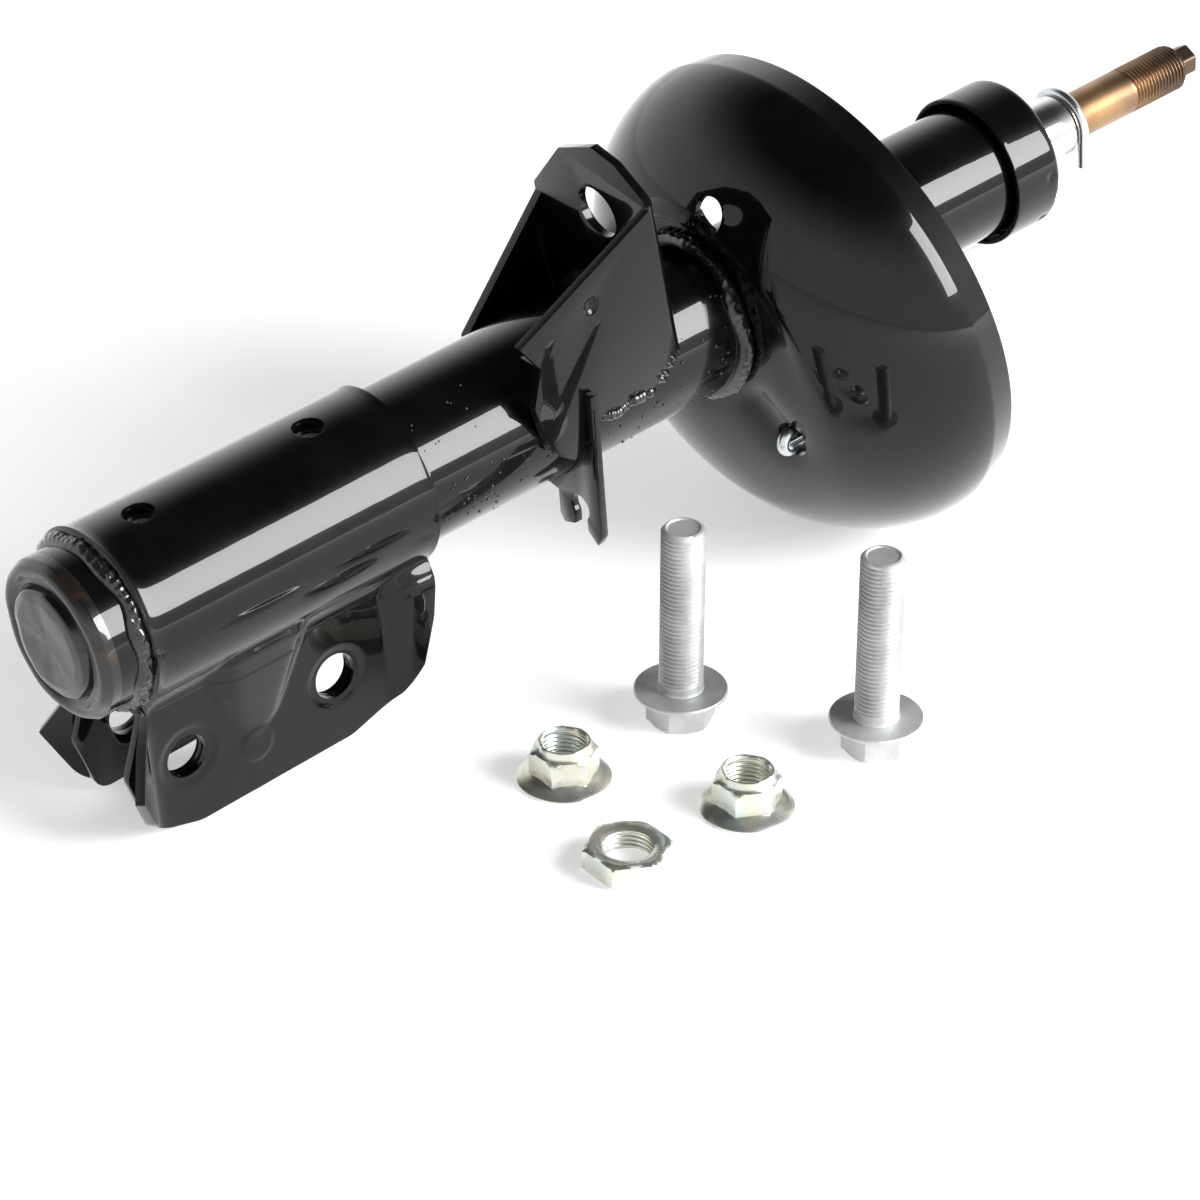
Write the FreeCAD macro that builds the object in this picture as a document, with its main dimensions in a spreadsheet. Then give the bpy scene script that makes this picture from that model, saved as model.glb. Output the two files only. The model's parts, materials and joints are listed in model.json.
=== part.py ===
import FreeCAD, Part
import Sketcher
import math
import os

from FreeCAD import Placement, Rotation, Vector

# Front suspension strut, lying on its spring seat and on the tips of its knuckle bracket
# Drawn along the strut's own axis: x = 0 at the seat's rim, y to the far side, z away from the ears

doc = FreeCAD.newDocument("StrutAssembly")
sheet = doc.addObject("Spreadsheet::Sheet", "Sizes")

DRIVING = [
    # Outer tube with its end cap
    ("tube_radius", 26.0), ("tube_wall", 2.2), ("tube_start", -300.0),
    ("swage_start", -53.0), ("swage_run", 7.0), ("swage_drop", 3.65), ("tube_end", 78.0),
    ("lip_thickness", 1.6), ("lip_radius", 17.0),
    ("cap_rim_depth", 6.0), ("cap_groove_radius", 21.0), ("cap_disc_radius", 18.0),
    ("cap_groove_depth", 2.0), ("cap_disc_height", 2.2), ("cap_plug_depth", 5.0), ("cap_round", 2.0),
    # Knuckle bracket
    ("sheet_thickness", 3.0), ("sleeve_start", -289.5), ("sleeve_end", -184.5),
    ("ear_inside", 15.0), ("ear_height", 73.0),
    ("ear_left", -299.4), ("ear_left_height", 49.0), ("ear_top_left", -287.5), ("ear_bury", 6.0),
    ("ear_corner_left", -291.3), ("ear_corner_height", 68.1), ("ear_foot_left", -275.2),
    ("ear_foot_right", -217.5), ("ear_foot_right_height", 72.0), ("ear_rise_height", 66.5),
    ("ear_rise_right", -200.5),
    ("ear_right", -191.5), ("ear_right_height", 56.0), ("ear_top_right", -184.5),
    ("flange_left_bend", -291.0), ("flange_left_out", 9.0), ("flange_right_bend", -201.0),
    ("flange_right_out", 6.5), ("junction_round", 7.0), ("ear_corner_round", 9.0),
    ("lower_hole_x", -277.0), ("upper_hole_x", -221.2), ("knuckle_hole_z", -48.0),
    ("knuckle_hole_radius", 7.2), ("upper_hole_slot", 1.2),
    ("plug_hole_radius", 5.0), ("plug_hole_left", -271.0), ("plug_hole_right", -208.7),
    ("inner_sheet", 2.8), ("inner_web_gap", 0.3), ("inner_left", -297.0), ("inner_right", -204.0),
    ("inner_foot", 70.0), ("inner_round", 12.0), ("inner_run", 6.0), ("inner_rise", 3.0),
    ("inner_weld_gap", 1.0),
    ("bead_width", 4.2), ("bead_rise", 3.6),
    # Stabiliser link bracket
    ("link_sheet", 3.0), ("link_fold_foot", -86.5), ("link_fold_top", -93.6), ("link_fold_foot_z", 14.0),
    ("link_fold_top_z", 68.0), ("link_near_tip_x", -149.0), ("link_near_tip_z", 41.2),
    ("link_near_heel_x", -141.8), ("link_near_heel_z", 30.9), ("link_bulge_x", -145.3),
    ("link_bulge_z", 18.1), ("link_lobe_x", -142.1), ("link_lobe_z", 5.6), ("link_lobe_foot_x", -137.3),
    ("link_lobe_foot_z", -2.9), ("link_lobe_low_x", -131.6), ("link_lobe_low_z", -6.8),
    ("link_lobe_right_x", -127.5), ("link_lobe_right_z", -4.0), ("link_foot_left", -121.5),
    ("link_foot_right", -100.0), ("link_foot_z", 3.5), ("link_side_foot_z", -4.0),
    ("link_far_top_z", 52.7), ("link_far_tip_x", -128.0),
    ("link_far_tip_z", 11.5), ("link_crest_y", -5.0), ("link_crest_z", 80.0),
    ("link_near_shoulder_y", -15.5),
    ("link_near_shoulder_z", 77.7), ("link_far_shoulder_y", 11.9), ("link_far_shoulder_z", 72.7),
    ("link_hole_y", -2.0), ("link_hole_z", 54.5), ("link_hole_radius", 8.75), ("link_bend", 2.5),
    ("link_flange_reach", 10.0), ("link_flange_foot", 1.0),
    # Brake hose bracket
    ("hose_plate_start", -126.5), ("hose_plate_sheet", 3.0), ("hose_edge_out", 3.4), ("hose_top_z", 15.0),
    ("hose_shoulder_z", -37.0), ("hose_tip_y", -30.5), ("hose_tip_z", -41.0), ("hose_heel_z", -37.5),
    ("hose_prong_y", -12.5), ("hose_prong_foot", -39.5), ("hose_prong_shoulder", -36.5),
    ("hose_prong_bevel", 3.0), ("hose_root_y", -2.5), ("hose_root_out", 0.5), ("hose_neck_z", -28.0),
    ("hose_slot_y", -22.9), ("hose_slot_z", -29.9), ("hose_slot_radius", 4.3), ("hose_mouth_width", 6.0),
    ("hose_inside_z", -4.2),
    # Spring seat
    ("seat_rim_radius", 82.9), ("seat_centre_y", -1.2), ("seat_centre_z", -11.6), ("seat_tilt", 9.5),
    ("seat_lip_depth", 9.7), ("seat_bulge", 2.0), ("seat_bowl_depth", 48.0), ("seat_flat_share", 0.41),
    ("seat_sheet", 3.0), ("seat_hole_clearance", 0.05), ("drain_radius", 6.0),
    ("drain_offset", 7.0), ("drain_low_offset", 17.0), ("drain_top_angle", 104.0),
    ("drain_near_angle", 221.0), ("drain_far_angle", 342.0),
    # Bump stop cup
    ("cup_start", 62.0), ("cup_end", 81.3), ("cup_inset", 0.2), ("cup_wall", 1.6),
    ("cup_skirt", 8.0), ("cup_bore_clearance", 1.0), ("cup_round", 2.0), ("press_gap", 0.03),
    # Damper
    ("rod_radius", 11.0), ("shoulder_x", 104.5), ("shank_radius", 7.9), ("thread_start", 135.0),
    ("thread_length", 25.0), ("thread_radius", 8.0), ("thread_relief", 0.6),
    ("spigot_flats", 9.6), ("spigot_length", 7.5), ("rod_chamfer", 1.2),
    ("running_gap", 0.05), ("pressure_radius", 15.0), ("pressure_wall", 1.3),
    ("foot_gap", 3.8), ("foot_length", 8.0), ("foot_spigot", 10.0),
    ("guide_length", 18.0), ("guide_spigot", 5.0), ("seal_length", 6.0), ("bush_wall", 1.4),
    ("bush_margin", 2.0), ("travel_out", 140.0), ("travel_in", 20.0), ("stop_length", 10.0),
    ("stop_wall", 3.0), ("stop_margin", 1.0), ("piston_distance", 112.0), ("piston_length", 15.0),
    ("piston_stud", 6.0), ("stud_length", 30.0), ("band_thickness", 0.8), ("band_width", 10.0),
    ("discs_radius", 11.5), ("discs_thickness", 2.0), ("piston_nut_flats", 17.0),
    ("piston_nut_height", 8.0),
    # Retaining wire
    ("wire_radius", 2.0), ("wire_ring_gap", 0.9), ("wire_leg_z", -28.6), ("wire_leg_bend", 6.0),
    ("wire_end_drop", 12.0), ("wire_slant_start", -19.0), ("wire_slant_end", 38.0),
    ("wire_slant_bend", 20.0), ("wire_hook_radius", 3.2), ("wire_hook_reach", 3.5),
    ("wire_hook_depth", 8.0), ("wire_hook_end", 1.5), ("wire_shoulder_gap", 0.1),
    # Loose fasteners
    ("bolt_radius", 7.0), ("bolt_length", 58.0), ("bolt_flats", 19.0), ("bolt_head", 8.5),
    ("flange_radius", 14.8), ("flange_thickness", 3.0), ("flange_edge", 1.2), ("bolt_chamfer", 1.3),
    ("bolt_one_x", -120.9), ("bolt_one_y", -68.7), ("bolt_two_x", -85.2), ("bolt_two_y", -119.2),
    ("nut_height", 14.0), ("nut_flats", 19.0), ("nut_collar", 2.4), ("nut_collar_radius", 8.3),
    ("nut_one_x", -169.8), ("nut_one_y", -70.8), ("nut_two_x", -137.4), ("nut_two_y", -118.1),
    ("rod_nut_height", 8.0), ("rod_nut_flats", 24.0), ("rod_nut_x", -184.7), ("rod_nut_y", -118.0),
]
DERIVED = [
    ("neck_radius", "tube_radius - swage_drop"), ("cup_radius", "tube_radius - cup_inset"),
    ("ear_top_height", "tube_radius - ear_bury"), ("foot_radius", "tube_radius - tube_wall - foot_gap"),
    ("seat_flat_radius", "seat_rim_radius * seat_flat_share"),
    ("drain_circle", "seat_flat_radius + drain_offset"),
    ("drain_low_circle", "seat_flat_radius + drain_low_offset"),
]


def add_rows(first, rows):
    """Write rows of alias and cell text on the sheet."""
    for row, (alias, cell) in enumerate(rows, start=first):
        sheet.set("A%d" % row, alias)
        sheet.set("B%d" % row, cell)
        sheet.setAlias("B%d" % row, alias)
    doc.recompute()


add_rows(1, [(alias, repr(value)) for alias, value in DRIVING])
add_rows(len(DRIVING) + 1, [(alias, "=" + formula) for alias, formula in DERIVED])
SIZE = {alias: float(sheet.get(alias)) for alias, cell in DRIVING + DERIVED}
X_AXIS = Vector(1, 0, 0)
Y_AXIS = Vector(0, 1, 0)
Z_AXIS = Vector(0, 0, 1)


def bound(formula):
    """Write a formula of size names as an expression on the sheet."""
    out = ""
    word = ""
    for letter in formula + " ":
        if letter.isalnum() or letter == "_":
            word += letter
            continue
        out += "Sizes." + word if word in SIZE else word
        out += letter
        word = ""
    return out.strip()


def number(formula):
    """Value of a formula of size names."""
    value = sheet.evalExpression(bound(formula))
    return float(getattr(value, "Value", value))


def bind(thing, path, formula):
    thing.setExpression(path, bound(formula))


def draw_outline(sketch, points):
    """Closed outline of straight edges whose corners are held by two bound distances each."""
    corners = [Vector(number(u), number(v), 0) for u, v in points]
    first = sketch.GeometryCount
    count = len(corners)
    for i in range(count):
        sketch.addGeometry(Part.LineSegment(corners[i], corners[(i + 1) % count]), False)
    for i in range(count):
        sketch.addConstraint(Sketcher.Constraint("Coincident", first + i, 2, first + (i + 1) % count, 1))
    for i, (u, v) in enumerate(points):
        for kind, formula in (("DistanceX", u), ("DistanceY", v)):
            value = number(formula)
            index = sketch.addConstraint(Sketcher.Constraint(kind, -1, 1, first + i, 1, value))
            bind(sketch, "Constraints[%d]" % index, formula)


def new_body(name):
    body = doc.addObject("PartDesign::Body", name)
    body.Label = name
    return body


def sketch_on(body, name, role, offset="0"):
    """Sketch on one of the body's own origin planes, moved along its normal."""
    plane = [f for f in body.Origin.OriginFeatures if f.Role == role][0]
    sketch = body.newObject("Sketcher::SketchObject", name)
    sketch.AttachmentSupport = [(plane, "")]
    sketch.MapMode = "FlatFace"
    bind(sketch, "AttachmentOffset.Base.z", offset)
    return sketch


def revolve(body, name, points):
    """Turn a profile of (x, radius) corners about the strut's axis."""
    sketch = sketch_on(body, name + "_profile", "XZ_Plane")
    draw_outline(sketch, points)
    feature = body.newObject("PartDesign::Revolution", name + "_turn")
    feature.Profile = sketch
    feature.ReferenceAxis = (sketch, ["H_Axis"])
    feature.Angle = 360
    return feature


def round_edges(body, name, base, radius, wanted):
    """Fillet the edges of a feature for which wanted(edge) is true."""
    doc.recompute()
    edges = ["Edge%d" % (i + 1) for i, edge in enumerate(base.Shape.Edges) if wanted(edge)]
    feature = body.newObject("PartDesign::Fillet", name)
    feature.Base = (base, edges)
    bind(feature, "Radius", radius)
    return feature


def runs_along(edge, direction):
    """Whether an edge is a straight line along a direction."""
    if edge.Curve.TypeId != "Part::GeomLine":
        return False
    return abs(abs(edge.Curve.Direction.dot(direction)) - 1) < 1e-6


def near(value, target):
    return abs(value - target) < 0.01


def solid_cylinder(name, radius, length, x, y="0", z="0", direction=X_AXIS):
    """Plain cylinder that starts at a point and runs along a direction."""
    cylinder = doc.addObject("Part::Cylinder", name)
    cylinder.Placement = Placement(Vector(0, 0, 0), Rotation(Z_AXIS, direction))
    bind(cylinder, "Radius", radius)
    bind(cylinder, "Height", length)
    for path, formula in (("x", x), ("y", y), ("z", z)):
        bind(cylinder, "Placement.Base." + path, formula)
    return cylinder


def extrusion(name, plane, points, start, length):
    """Solid plate: an outline on a plane through the origin, carried from start along its normal."""
    turns = {
        "YZ": (Rotation(Vector(1, 1, 1), 120), "x", X_AXIS),
        "XZ": (Rotation(X_AXIS, 90), "y", Y_AXIS),
        "XY": (Rotation(), "z", Z_AXIS),
    }
    turn, path, direction = turns[plane]
    sketch = doc.addObject("Sketcher::SketchObject", name + "_outline")
    sketch.Placement = Placement(Vector(0, 0, 0), turn)
    bind(sketch, "Placement.Base." + path, start)
    draw_outline(sketch, points)
    plate = doc.addObject("Part::Extrusion", name)
    plate.Base = sketch
    plate.DirMode = "Custom"
    plate.Dir = direction
    bind(plate, "LengthFwd", length)
    plate.Solid = True
    return plate


def cut(name, base, tools):
    """Base less the tools."""
    tool = tools[0]
    if len(tools) > 1:
        tool = fuse(name + "_tools", tools)
    result = doc.addObject("Part::Cut", name)
    result.Base = base
    result.Tool = tool
    return result


def fuse(name, pieces):
    result = doc.addObject("Part::MultiFuse", name)
    result.Shapes = pieces
    result.Refine = True
    return result


def common(name, pieces):
    result = doc.addObject("Part::MultiCommon", name)
    result.Shapes = pieces
    return result


def rounded(name, base, radius, wanted):
    """Fillet of the edges of a solid for which wanted(edge) is true."""
    doc.recompute()
    size = number(radius)
    edges = [(i + 1, size, size) for i, edge in enumerate(base.Shape.Edges) if wanted(edge)]
    result = doc.addObject("Part::Fillet", name)
    result.Base = base
    result.Edges = edges
    return result


# The spring seat is a superellipse bowl from its flat bottom to its lip, then a short lip to the rim
BOWL_POWER = 1.09
SEAT_STATIONS = 11


def seat_station(along):
    """Shares of the bowl at a place from 0 (flat bottom) to 2 (rim); 1 is where the lip starts.

    Returns the distance behind the rim as shares of the lip's and bowl's depth, the shares of the
    bowl's radius and of the bulge, and the blend from the tube's axis to the rim's axis.
    """
    turn = math.radians(90 * max(0.0, 1 - along))
    depth = math.sin(turn) ** BOWL_POWER
    radius = math.cos(turn) ** BOWL_POWER if along > 0 else 0.0
    lip = max(0.0, 2 - max(along, 1.0))
    blend = min(1.0, radius * 2.2)
    return lip, depth, radius, lip, blend * blend * (3 - 2 * blend)


def station_point(along):
    """Distance behind the rim and radius, for spacing the stations evenly."""
    lip, depth, radius, swell, blend = seat_station(along)
    behind = SIZE["seat_lip_depth"] * lip + SIZE["seat_bowl_depth"] * depth
    wide = SIZE["seat_rim_radius"] - SIZE["seat_flat_radius"]
    return behind, wide * radius + SIZE["seat_bulge"] * (radius if along < 1 else swell)


def even_stations():
    """Places along the bowl and its lip with equal lengths of curve between them."""
    samples = [2 * i / 2000 for i in range(2001)]
    points = [station_point(along) for along in samples]
    length = [0.0]
    for before, after in zip(points, points[1:]):
        length.append(length[-1] + math.dist(before, after))
    picked = []
    for k in range(SEAT_STATIONS):
        target = length[-1] * k / (SEAT_STATIONS - 1)
        picked.append(samples[min(range(len(length)), key=lambda i: abs(length[i] - target))])
    return picked


def seat_profile(inset):
    """Centre x, y, z, tilt and radius of each round section; inset 1 gives the pan's inside."""
    rows = []
    for along in even_stations():
        lip, depth, radius, swell, blend = seat_station(along)
        behind = "(seat_lip_depth * %.6f + seat_bowl_depth * %.6f - seat_sheet * %.6f)" % (
            lip if along < 2 else -0.2 * inset, depth, inset * depth)
        size = "seat_flat_radius + (seat_rim_radius - seat_flat_radius) * %.6f" % radius
        size += " + seat_bulge * %.6f" % (radius if along < 1 else swell)
        size += " - seat_sheet * %.6f" % (inset * (1 - depth))
        x = "-%s * cos(seat_tilt)" % behind
        y = "seat_centre_y * %.6f" % blend
        z = "(seat_centre_z - %s * sin(seat_tilt)) * %.6f" % (behind, blend)
        rows.append((x, y, z, "90 - seat_tilt * %.6f" % blend, size))
    return rows


def loft(name, rows):
    """Solid of straight bands through round sections."""
    circles = []
    for index, (x, y, z, turn, radius) in enumerate(rows):
        circle = doc.addObject("Part::Circle", "%s_section_%d" % (name, index))
        circle.Placement = Placement(Vector(0, 0, 0), Rotation(Y_AXIS, 90))
        bind(circle, "Radius", radius)
        for path, formula in (("Base.x", x), ("Base.y", y), ("Base.z", z), ("Rotation.Angle", turn)):
            bind(circle, "Placement." + path, formula)
        circles.append(circle)
    result = doc.addObject("Part::Loft", name)
    result.Sections = circles
    result.Solid = True
    result.Ruled = True
    return result


# How the strut lies
def lying_pose():
    """Pitch in degrees and depth of the floor, with the seat and the ears both on the floor."""
    low = []
    for x, y, z, turn, radius in seat_profile(0):
        lean = math.radians(90 - number(turn))
        low.append((number(x) + number(radius) * math.sin(lean),
        number(z) - number(radius) * math.cos(lean)))
    ear_x = SIZE["ear_foot_left"]
    ear_z = -SIZE["ear_height"]
    pitch = 0.0
    for step in range(40):
        seat_x, seat_z = min(low, key=lambda p: p[0] * math.sin(pitch) + p[1] * math.cos(pitch))
        pitch = math.atan((ear_z - seat_z) / (seat_x - ear_x))
    return math.degrees(pitch), -(seat_x * math.sin(pitch) + seat_z * math.cos(pitch))


PITCH, AXIS_HEIGHT = lying_pose()
add_rows(len(DRIVING + DERIVED) + 1, [("lying_pitch", repr(PITCH)), ("axis_height", repr(AXIS_HEIGHT))])
SIZE.update(lying_pitch=PITCH, axis_height=AXIS_HEIGHT)


SHIFT_X = " - lower_hole_x * cos(lying_pitch) + knuckle_hole_z * sin(lying_pitch)"
SHIFT_Z = " - lower_hole_x * sin(lying_pitch) - knuckle_hole_z * cos(lying_pitch)"


def lay_down(piece):
    """Turn a piece by the lying pitch and bring the lower knuckle hole to the origin."""
    piece.Placement = Placement(Vector(0, 0, 0), Rotation(-Y_AXIS, SIZE["lying_pitch"]))
    bind(piece, "Placement.Rotation.Angle", "lying_pitch")
    bind(piece, "Placement.Base.x", "0" + SHIFT_X)
    bind(piece, "Placement.Base.z", "0" + SHIFT_Z)


PIECES = []


def finish(piece, name):
    """Name a piece of the strut and lay it down."""
    piece.Label = name
    lay_down(piece)
    PIECES.append((name, piece))


# Outer tube: full width to the swage beyond the seat, then the narrow neck with a rolled lip
body_tube = new_body("body_tube")
revolve(body_tube, "body_tube", [
    ("tube_start", "tube_radius - tube_wall"), ("tube_start", "tube_radius"),
    ("swage_start", "tube_radius"), ("swage_start + swage_run", "neck_radius"),
    ("tube_end", "neck_radius"), ("tube_end", "lip_radius"),
    ("tube_end - lip_thickness", "lip_radius"), ("tube_end - lip_thickness", "neck_radius - tube_wall"),
    ("swage_start + swage_run", "neck_radius - tube_wall"), ("swage_start", "tube_radius - tube_wall"),
])
finish(body_tube, "body_tube")

# End cap: a rim on the tube's end, a groove, and a raised disc in the middle
end_cap = new_body("end_cap")
cap = revolve(end_cap, "end_cap", [
    ("tube_start + cap_plug_depth", "0"),
    ("tube_start + cap_plug_depth", "tube_radius - tube_wall - press_gap"),
    ("tube_start", "tube_radius - tube_wall - press_gap"), ("tube_start", "tube_radius"),
    ("tube_start - cap_rim_depth", "tube_radius"), ("tube_start - cap_rim_depth", "cap_groove_radius"),
    ("tube_start - cap_rim_depth + cap_groove_depth", "cap_groove_radius"),
    ("tube_start - cap_rim_depth + cap_groove_depth", "cap_disc_radius"),
    ("tube_start - cap_rim_depth - cap_disc_height", "cap_disc_radius"),
    ("tube_start - cap_rim_depth - cap_disc_height", "0"),
])


def is_cap_edge(edge):
    """Outer edges of the rim and of the raised disc."""
    if edge.Curve.TypeId != "Part::GeomCircle":
        return False
    x = edge.Curve.Center.x
    rim = near(x, number("tube_start - cap_rim_depth")) and near(edge.Curve.Radius, SIZE["tube_radius"])
    disc = near(x, number("tube_start - cap_rim_depth - cap_disc_height"))
    return rim or disc


round_edges(end_cap, "end_cap_round", cap, "cap_round", is_cap_edge)
finish(end_cap, "end_cap")

# Knuckle bracket: a sleeve round the tube that runs down into two parallel ears with flanged ends
SLEEVE_RADIUS = "tube_radius + sheet_thickness"
EAR_OUTSIDE = "ear_inside + sheet_thickness"
sleeve = solid_cylinder("sleeve", SLEEVE_RADIUS, "sleeve_end - sleeve_start", "sleeve_start")
ear_side = extrusion("ear_side", "XZ", [
    ("ear_top_left", "-ear_top_height"), ("ear_left", "-ear_left_height"),
    ("ear_corner_left", "-ear_corner_height"), ("ear_foot_left", "-ear_height"),
    ("ear_foot_right", "-ear_foot_right_height"),
    ("ear_rise_right", "-ear_rise_height"), ("ear_right", "-ear_right_height"),
    ("ear_top_right", "-ear_top_height"),
], "-2 * ear_inside - flange_left_out", "4 * ear_inside + 2 * flange_left_out")


def ear_plan(name, side):
    """Plan of one ear: a straight sheet with both ends turned outward."""
    inner = "%s * ear_inside" % side
    outer = "%s * (ear_inside + sheet_thickness)" % side
    left_in = "%s * (ear_inside + flange_left_out)" % side
    left_out = "%s * (ear_inside + flange_left_out + sheet_thickness * 0.4)" % side
    right_in = "%s * (ear_inside + flange_right_out)" % side
    right_out = "%s * (ear_inside + flange_right_out + sheet_thickness * 0.8)" % side
    corners = [
        ("ear_left - sheet_thickness", left_in), ("flange_left_bend", inner), ("flange_right_bend", inner),
        ("ear_top_right + sheet_thickness", right_in), ("ear_top_right", right_out),
        ("flange_right_bend - sheet_thickness * 0.4", outer),
        ("flange_left_bend + sheet_thickness * 0.4", outer),
        ("ear_left", left_out),
    ]
    return extrusion(name, "XY", corners, "-ear_height - 1", "ear_height + 1 - ear_top_height")


def is_ear_corner(edge):
    """Corner edges of the ear's side view, except where it meets the sleeve."""
    return runs_along(edge, Y_AXIS) and edge.CenterOfMass.z < -number("ear_top_height + 1")


ear_rounded = rounded("ear_rounded", ear_side, "ear_corner_round / 2", is_ear_corner)
ear_sheets = fuse("ear_sheets", [ear_plan("near_ear", "-1"), ear_plan("far_ear", "1")])
ears = common("ears", [ear_rounded, ear_sheets])
knuckle_solid = fuse("knuckle_solid", [sleeve, ears])
tube_space = solid_cylinder("tube_space", "tube_radius", "sleeve_end - ear_left + 20", "ear_left - 10")
throat = extrusion("throat", "YZ", [
    ("-ear_inside", "0"), ("ear_inside", "0"), ("ear_inside", "-tube_radius - 2 * sheet_thickness"),
    ("-ear_inside", "-tube_radius - 2 * sheet_thickness"),
], "ear_left - 10", "sleeve_end - ear_left + 20")
BORE_START = "-ear_inside - flange_left_out - 3 * sheet_thickness"


def knuckle_bore(name, x, z="knuckle_hole_z"):
    """Cylinder of a knuckle bolt hole through both ears."""
    length = "2 * (ear_inside + flange_left_out + 3 * sheet_thickness)"
    return solid_cylinder(name, "knuckle_hole_radius", length, x, BORE_START, z, Y_AXIS)


def plug_hole(name, x):
    """Hole through the top of the sleeve."""
    return solid_cylinder(name, "plug_hole_radius", "tube_radius + 2 * sheet_thickness", x, "0",
    "0", Z_AXIS)


def upper_bores(name):
    """The slightly long upper hole: two bores one above the other."""
    return [
        knuckle_bore(name + "_high", "upper_hole_x", "knuckle_hole_z + upper_hole_slot / 2"),
        knuckle_bore(name + "_low", "upper_hole_x", "knuckle_hole_z - upper_hole_slot / 2"),
    ]


knuckle_open = cut("knuckle_open", knuckle_solid, [tube_space, throat])


def is_junction(edge):
    """Outer edges where the ears leave the sleeve."""
    outside = number(EAR_OUTSIDE)
    depth = -math.sqrt(number(SLEEVE_RADIUS) ** 2 - outside ** 2)
    centre = edge.CenterOfMass
    return runs_along(edge, X_AXIS) and near(abs(centre.y), outside) and near(centre.z, depth)


knuckle_rounded = rounded("knuckle_rounded", knuckle_open, "junction_round", is_junction)
knuckle_bracket = cut("knuckle_bracket", knuckle_rounded, [
    knuckle_bore("lower_bore", "lower_hole_x"), *upper_bores("upper_bore"),
    plug_hole("left_plug_hole", "plug_hole_left"), plug_hole("right_plug_hole", "plug_hole_right"),
])
finish(knuckle_bracket, "knuckle_bracket")

# Inner bracket: a channel between the ears that doubles their sheet round the bolts
inner_side = extrusion("inner_side", "XZ", [
    ("sleeve_start + inner_weld_gap", "-(tube_radius + inner_web_gap)"), ("inner_left", "-ear_left_height"),
    ("inner_left + inner_run", "-inner_foot"), ("inner_right - inner_run", "-inner_foot + inner_rise"),
    ("inner_right", "-ear_left_height"), ("inner_right", "-(tube_radius + inner_web_gap)"),
], "-ear_inside", "2 * ear_inside")


def is_inner_corner(edge):
    return runs_along(edge, Y_AXIS) and edge.CenterOfMass.z < -number("tube_radius + inner_web_gap + 1")


inner_rounded = rounded("inner_rounded", inner_side, "inner_round / 2", is_inner_corner)
inner_gap = extrusion("inner_gap", "YZ", [
    ("-ear_inside + inner_sheet", "-(tube_radius + inner_web_gap + inner_sheet)"),
    ("ear_inside - inner_sheet", "-(tube_radius + inner_web_gap + inner_sheet)"),
    ("ear_inside - inner_sheet", "-inner_foot - 5"), ("-ear_inside + inner_sheet", "-inner_foot - 5"),
], "inner_left - 5", "inner_right - inner_left + 10")
inner_bracket = cut("inner_bracket", inner_rounded, [
    inner_gap, knuckle_bore("inner_lower_bore", "lower_hole_x"), *upper_bores("inner_upper_bore"),
])
finish(inner_bracket, "inner_bracket")


def weld_ring(name, x, direction, radius="tube_radius"):
    """Fillet weld round the tube: five-sided ring that leans on the tube and on a wall at x."""
    body = new_body(name)
    away = "%s + %s * " % (x, direction)
    revolve(body, name, [
        (x, radius), (x, radius + " + bead_rise"),
        (away + "bead_width * 0.5", radius + " + bead_rise * 0.8"),
        (away + "bead_width * 0.9", radius + " + bead_rise * 0.35"), (away + "bead_width", radius),
    ])
    finish(body, name)


weld_ring("sleeve_weld", "sleeve_start", "-1")

# Stabiliser link bracket: two side plates joined by a leaning web that sits astride the tube
FOLD = "link_fold_top - link_fold_foot"
LEAN = "(%s) / (link_fold_top_z - link_fold_foot_z)" % FOLD


def fold_at(height):
    """x of the bracket's fold at a height above the axis."""
    return "link_fold_foot + (%s - link_fold_foot_z) * (%s)" % (height, LEAN)


near_plate = extrusion("near_plate", "XZ", [
    (fold_at("link_fold_foot_z"), "link_fold_foot_z"), (fold_at("link_fold_top_z"), "link_fold_top_z"),
    ("link_near_tip_x", "link_near_tip_z"), ("link_near_heel_x", "link_near_heel_z"),
    ("link_bulge_x", "link_bulge_z"), ("link_lobe_x", "link_lobe_z"),
    ("link_lobe_foot_x", "link_lobe_foot_z"), ("link_lobe_low_x", "link_lobe_low_z"),
    ("link_lobe_right_x", "link_lobe_right_z"), ("link_foot_left", "link_foot_z"),
    ("link_foot_right", "link_foot_z"),
], "-tube_radius - link_sheet", "link_sheet")
near_flange = extrusion("near_flange", "YZ", [
    ("-tube_radius - link_sheet / 2", "link_flange_foot"),
    ("-tube_radius - link_sheet / 2", "link_near_heel_z"),
    ("-tube_radius - link_sheet + link_flange_reach", "link_near_heel_z"),
    ("-tube_radius - link_sheet + link_flange_reach", "link_flange_foot"),
], "link_near_heel_x", "link_sheet")
far_plate = extrusion("far_plate", "XZ", [
    (fold_at("link_side_foot_z"), "link_side_foot_z"), (fold_at("link_far_top_z"), "link_far_top_z"),
    ("link_far_tip_x", "link_far_tip_z"), ("link_far_tip_x", "link_side_foot_z"),
], "tube_radius", "link_sheet")
web_face = extrusion("web_face", "YZ", [
    ("-tube_radius - link_sheet", "link_fold_foot_z"), ("-tube_radius - link_sheet", "link_fold_top_z"),
    ("link_near_shoulder_y", "link_near_shoulder_z"), ("link_crest_y", "link_crest_z"),
    ("link_far_shoulder_y", "link_far_shoulder_z"), ("tube_radius + link_sheet", "link_far_top_z"),
    ("tube_radius + link_sheet", "link_side_foot_z"), ("0", "link_side_foot_z"),
    ("0", "link_fold_foot_z"),
], "link_fold_top - tube_radius", "link_fold_foot - link_fold_top + 2 * tube_radius")
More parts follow.
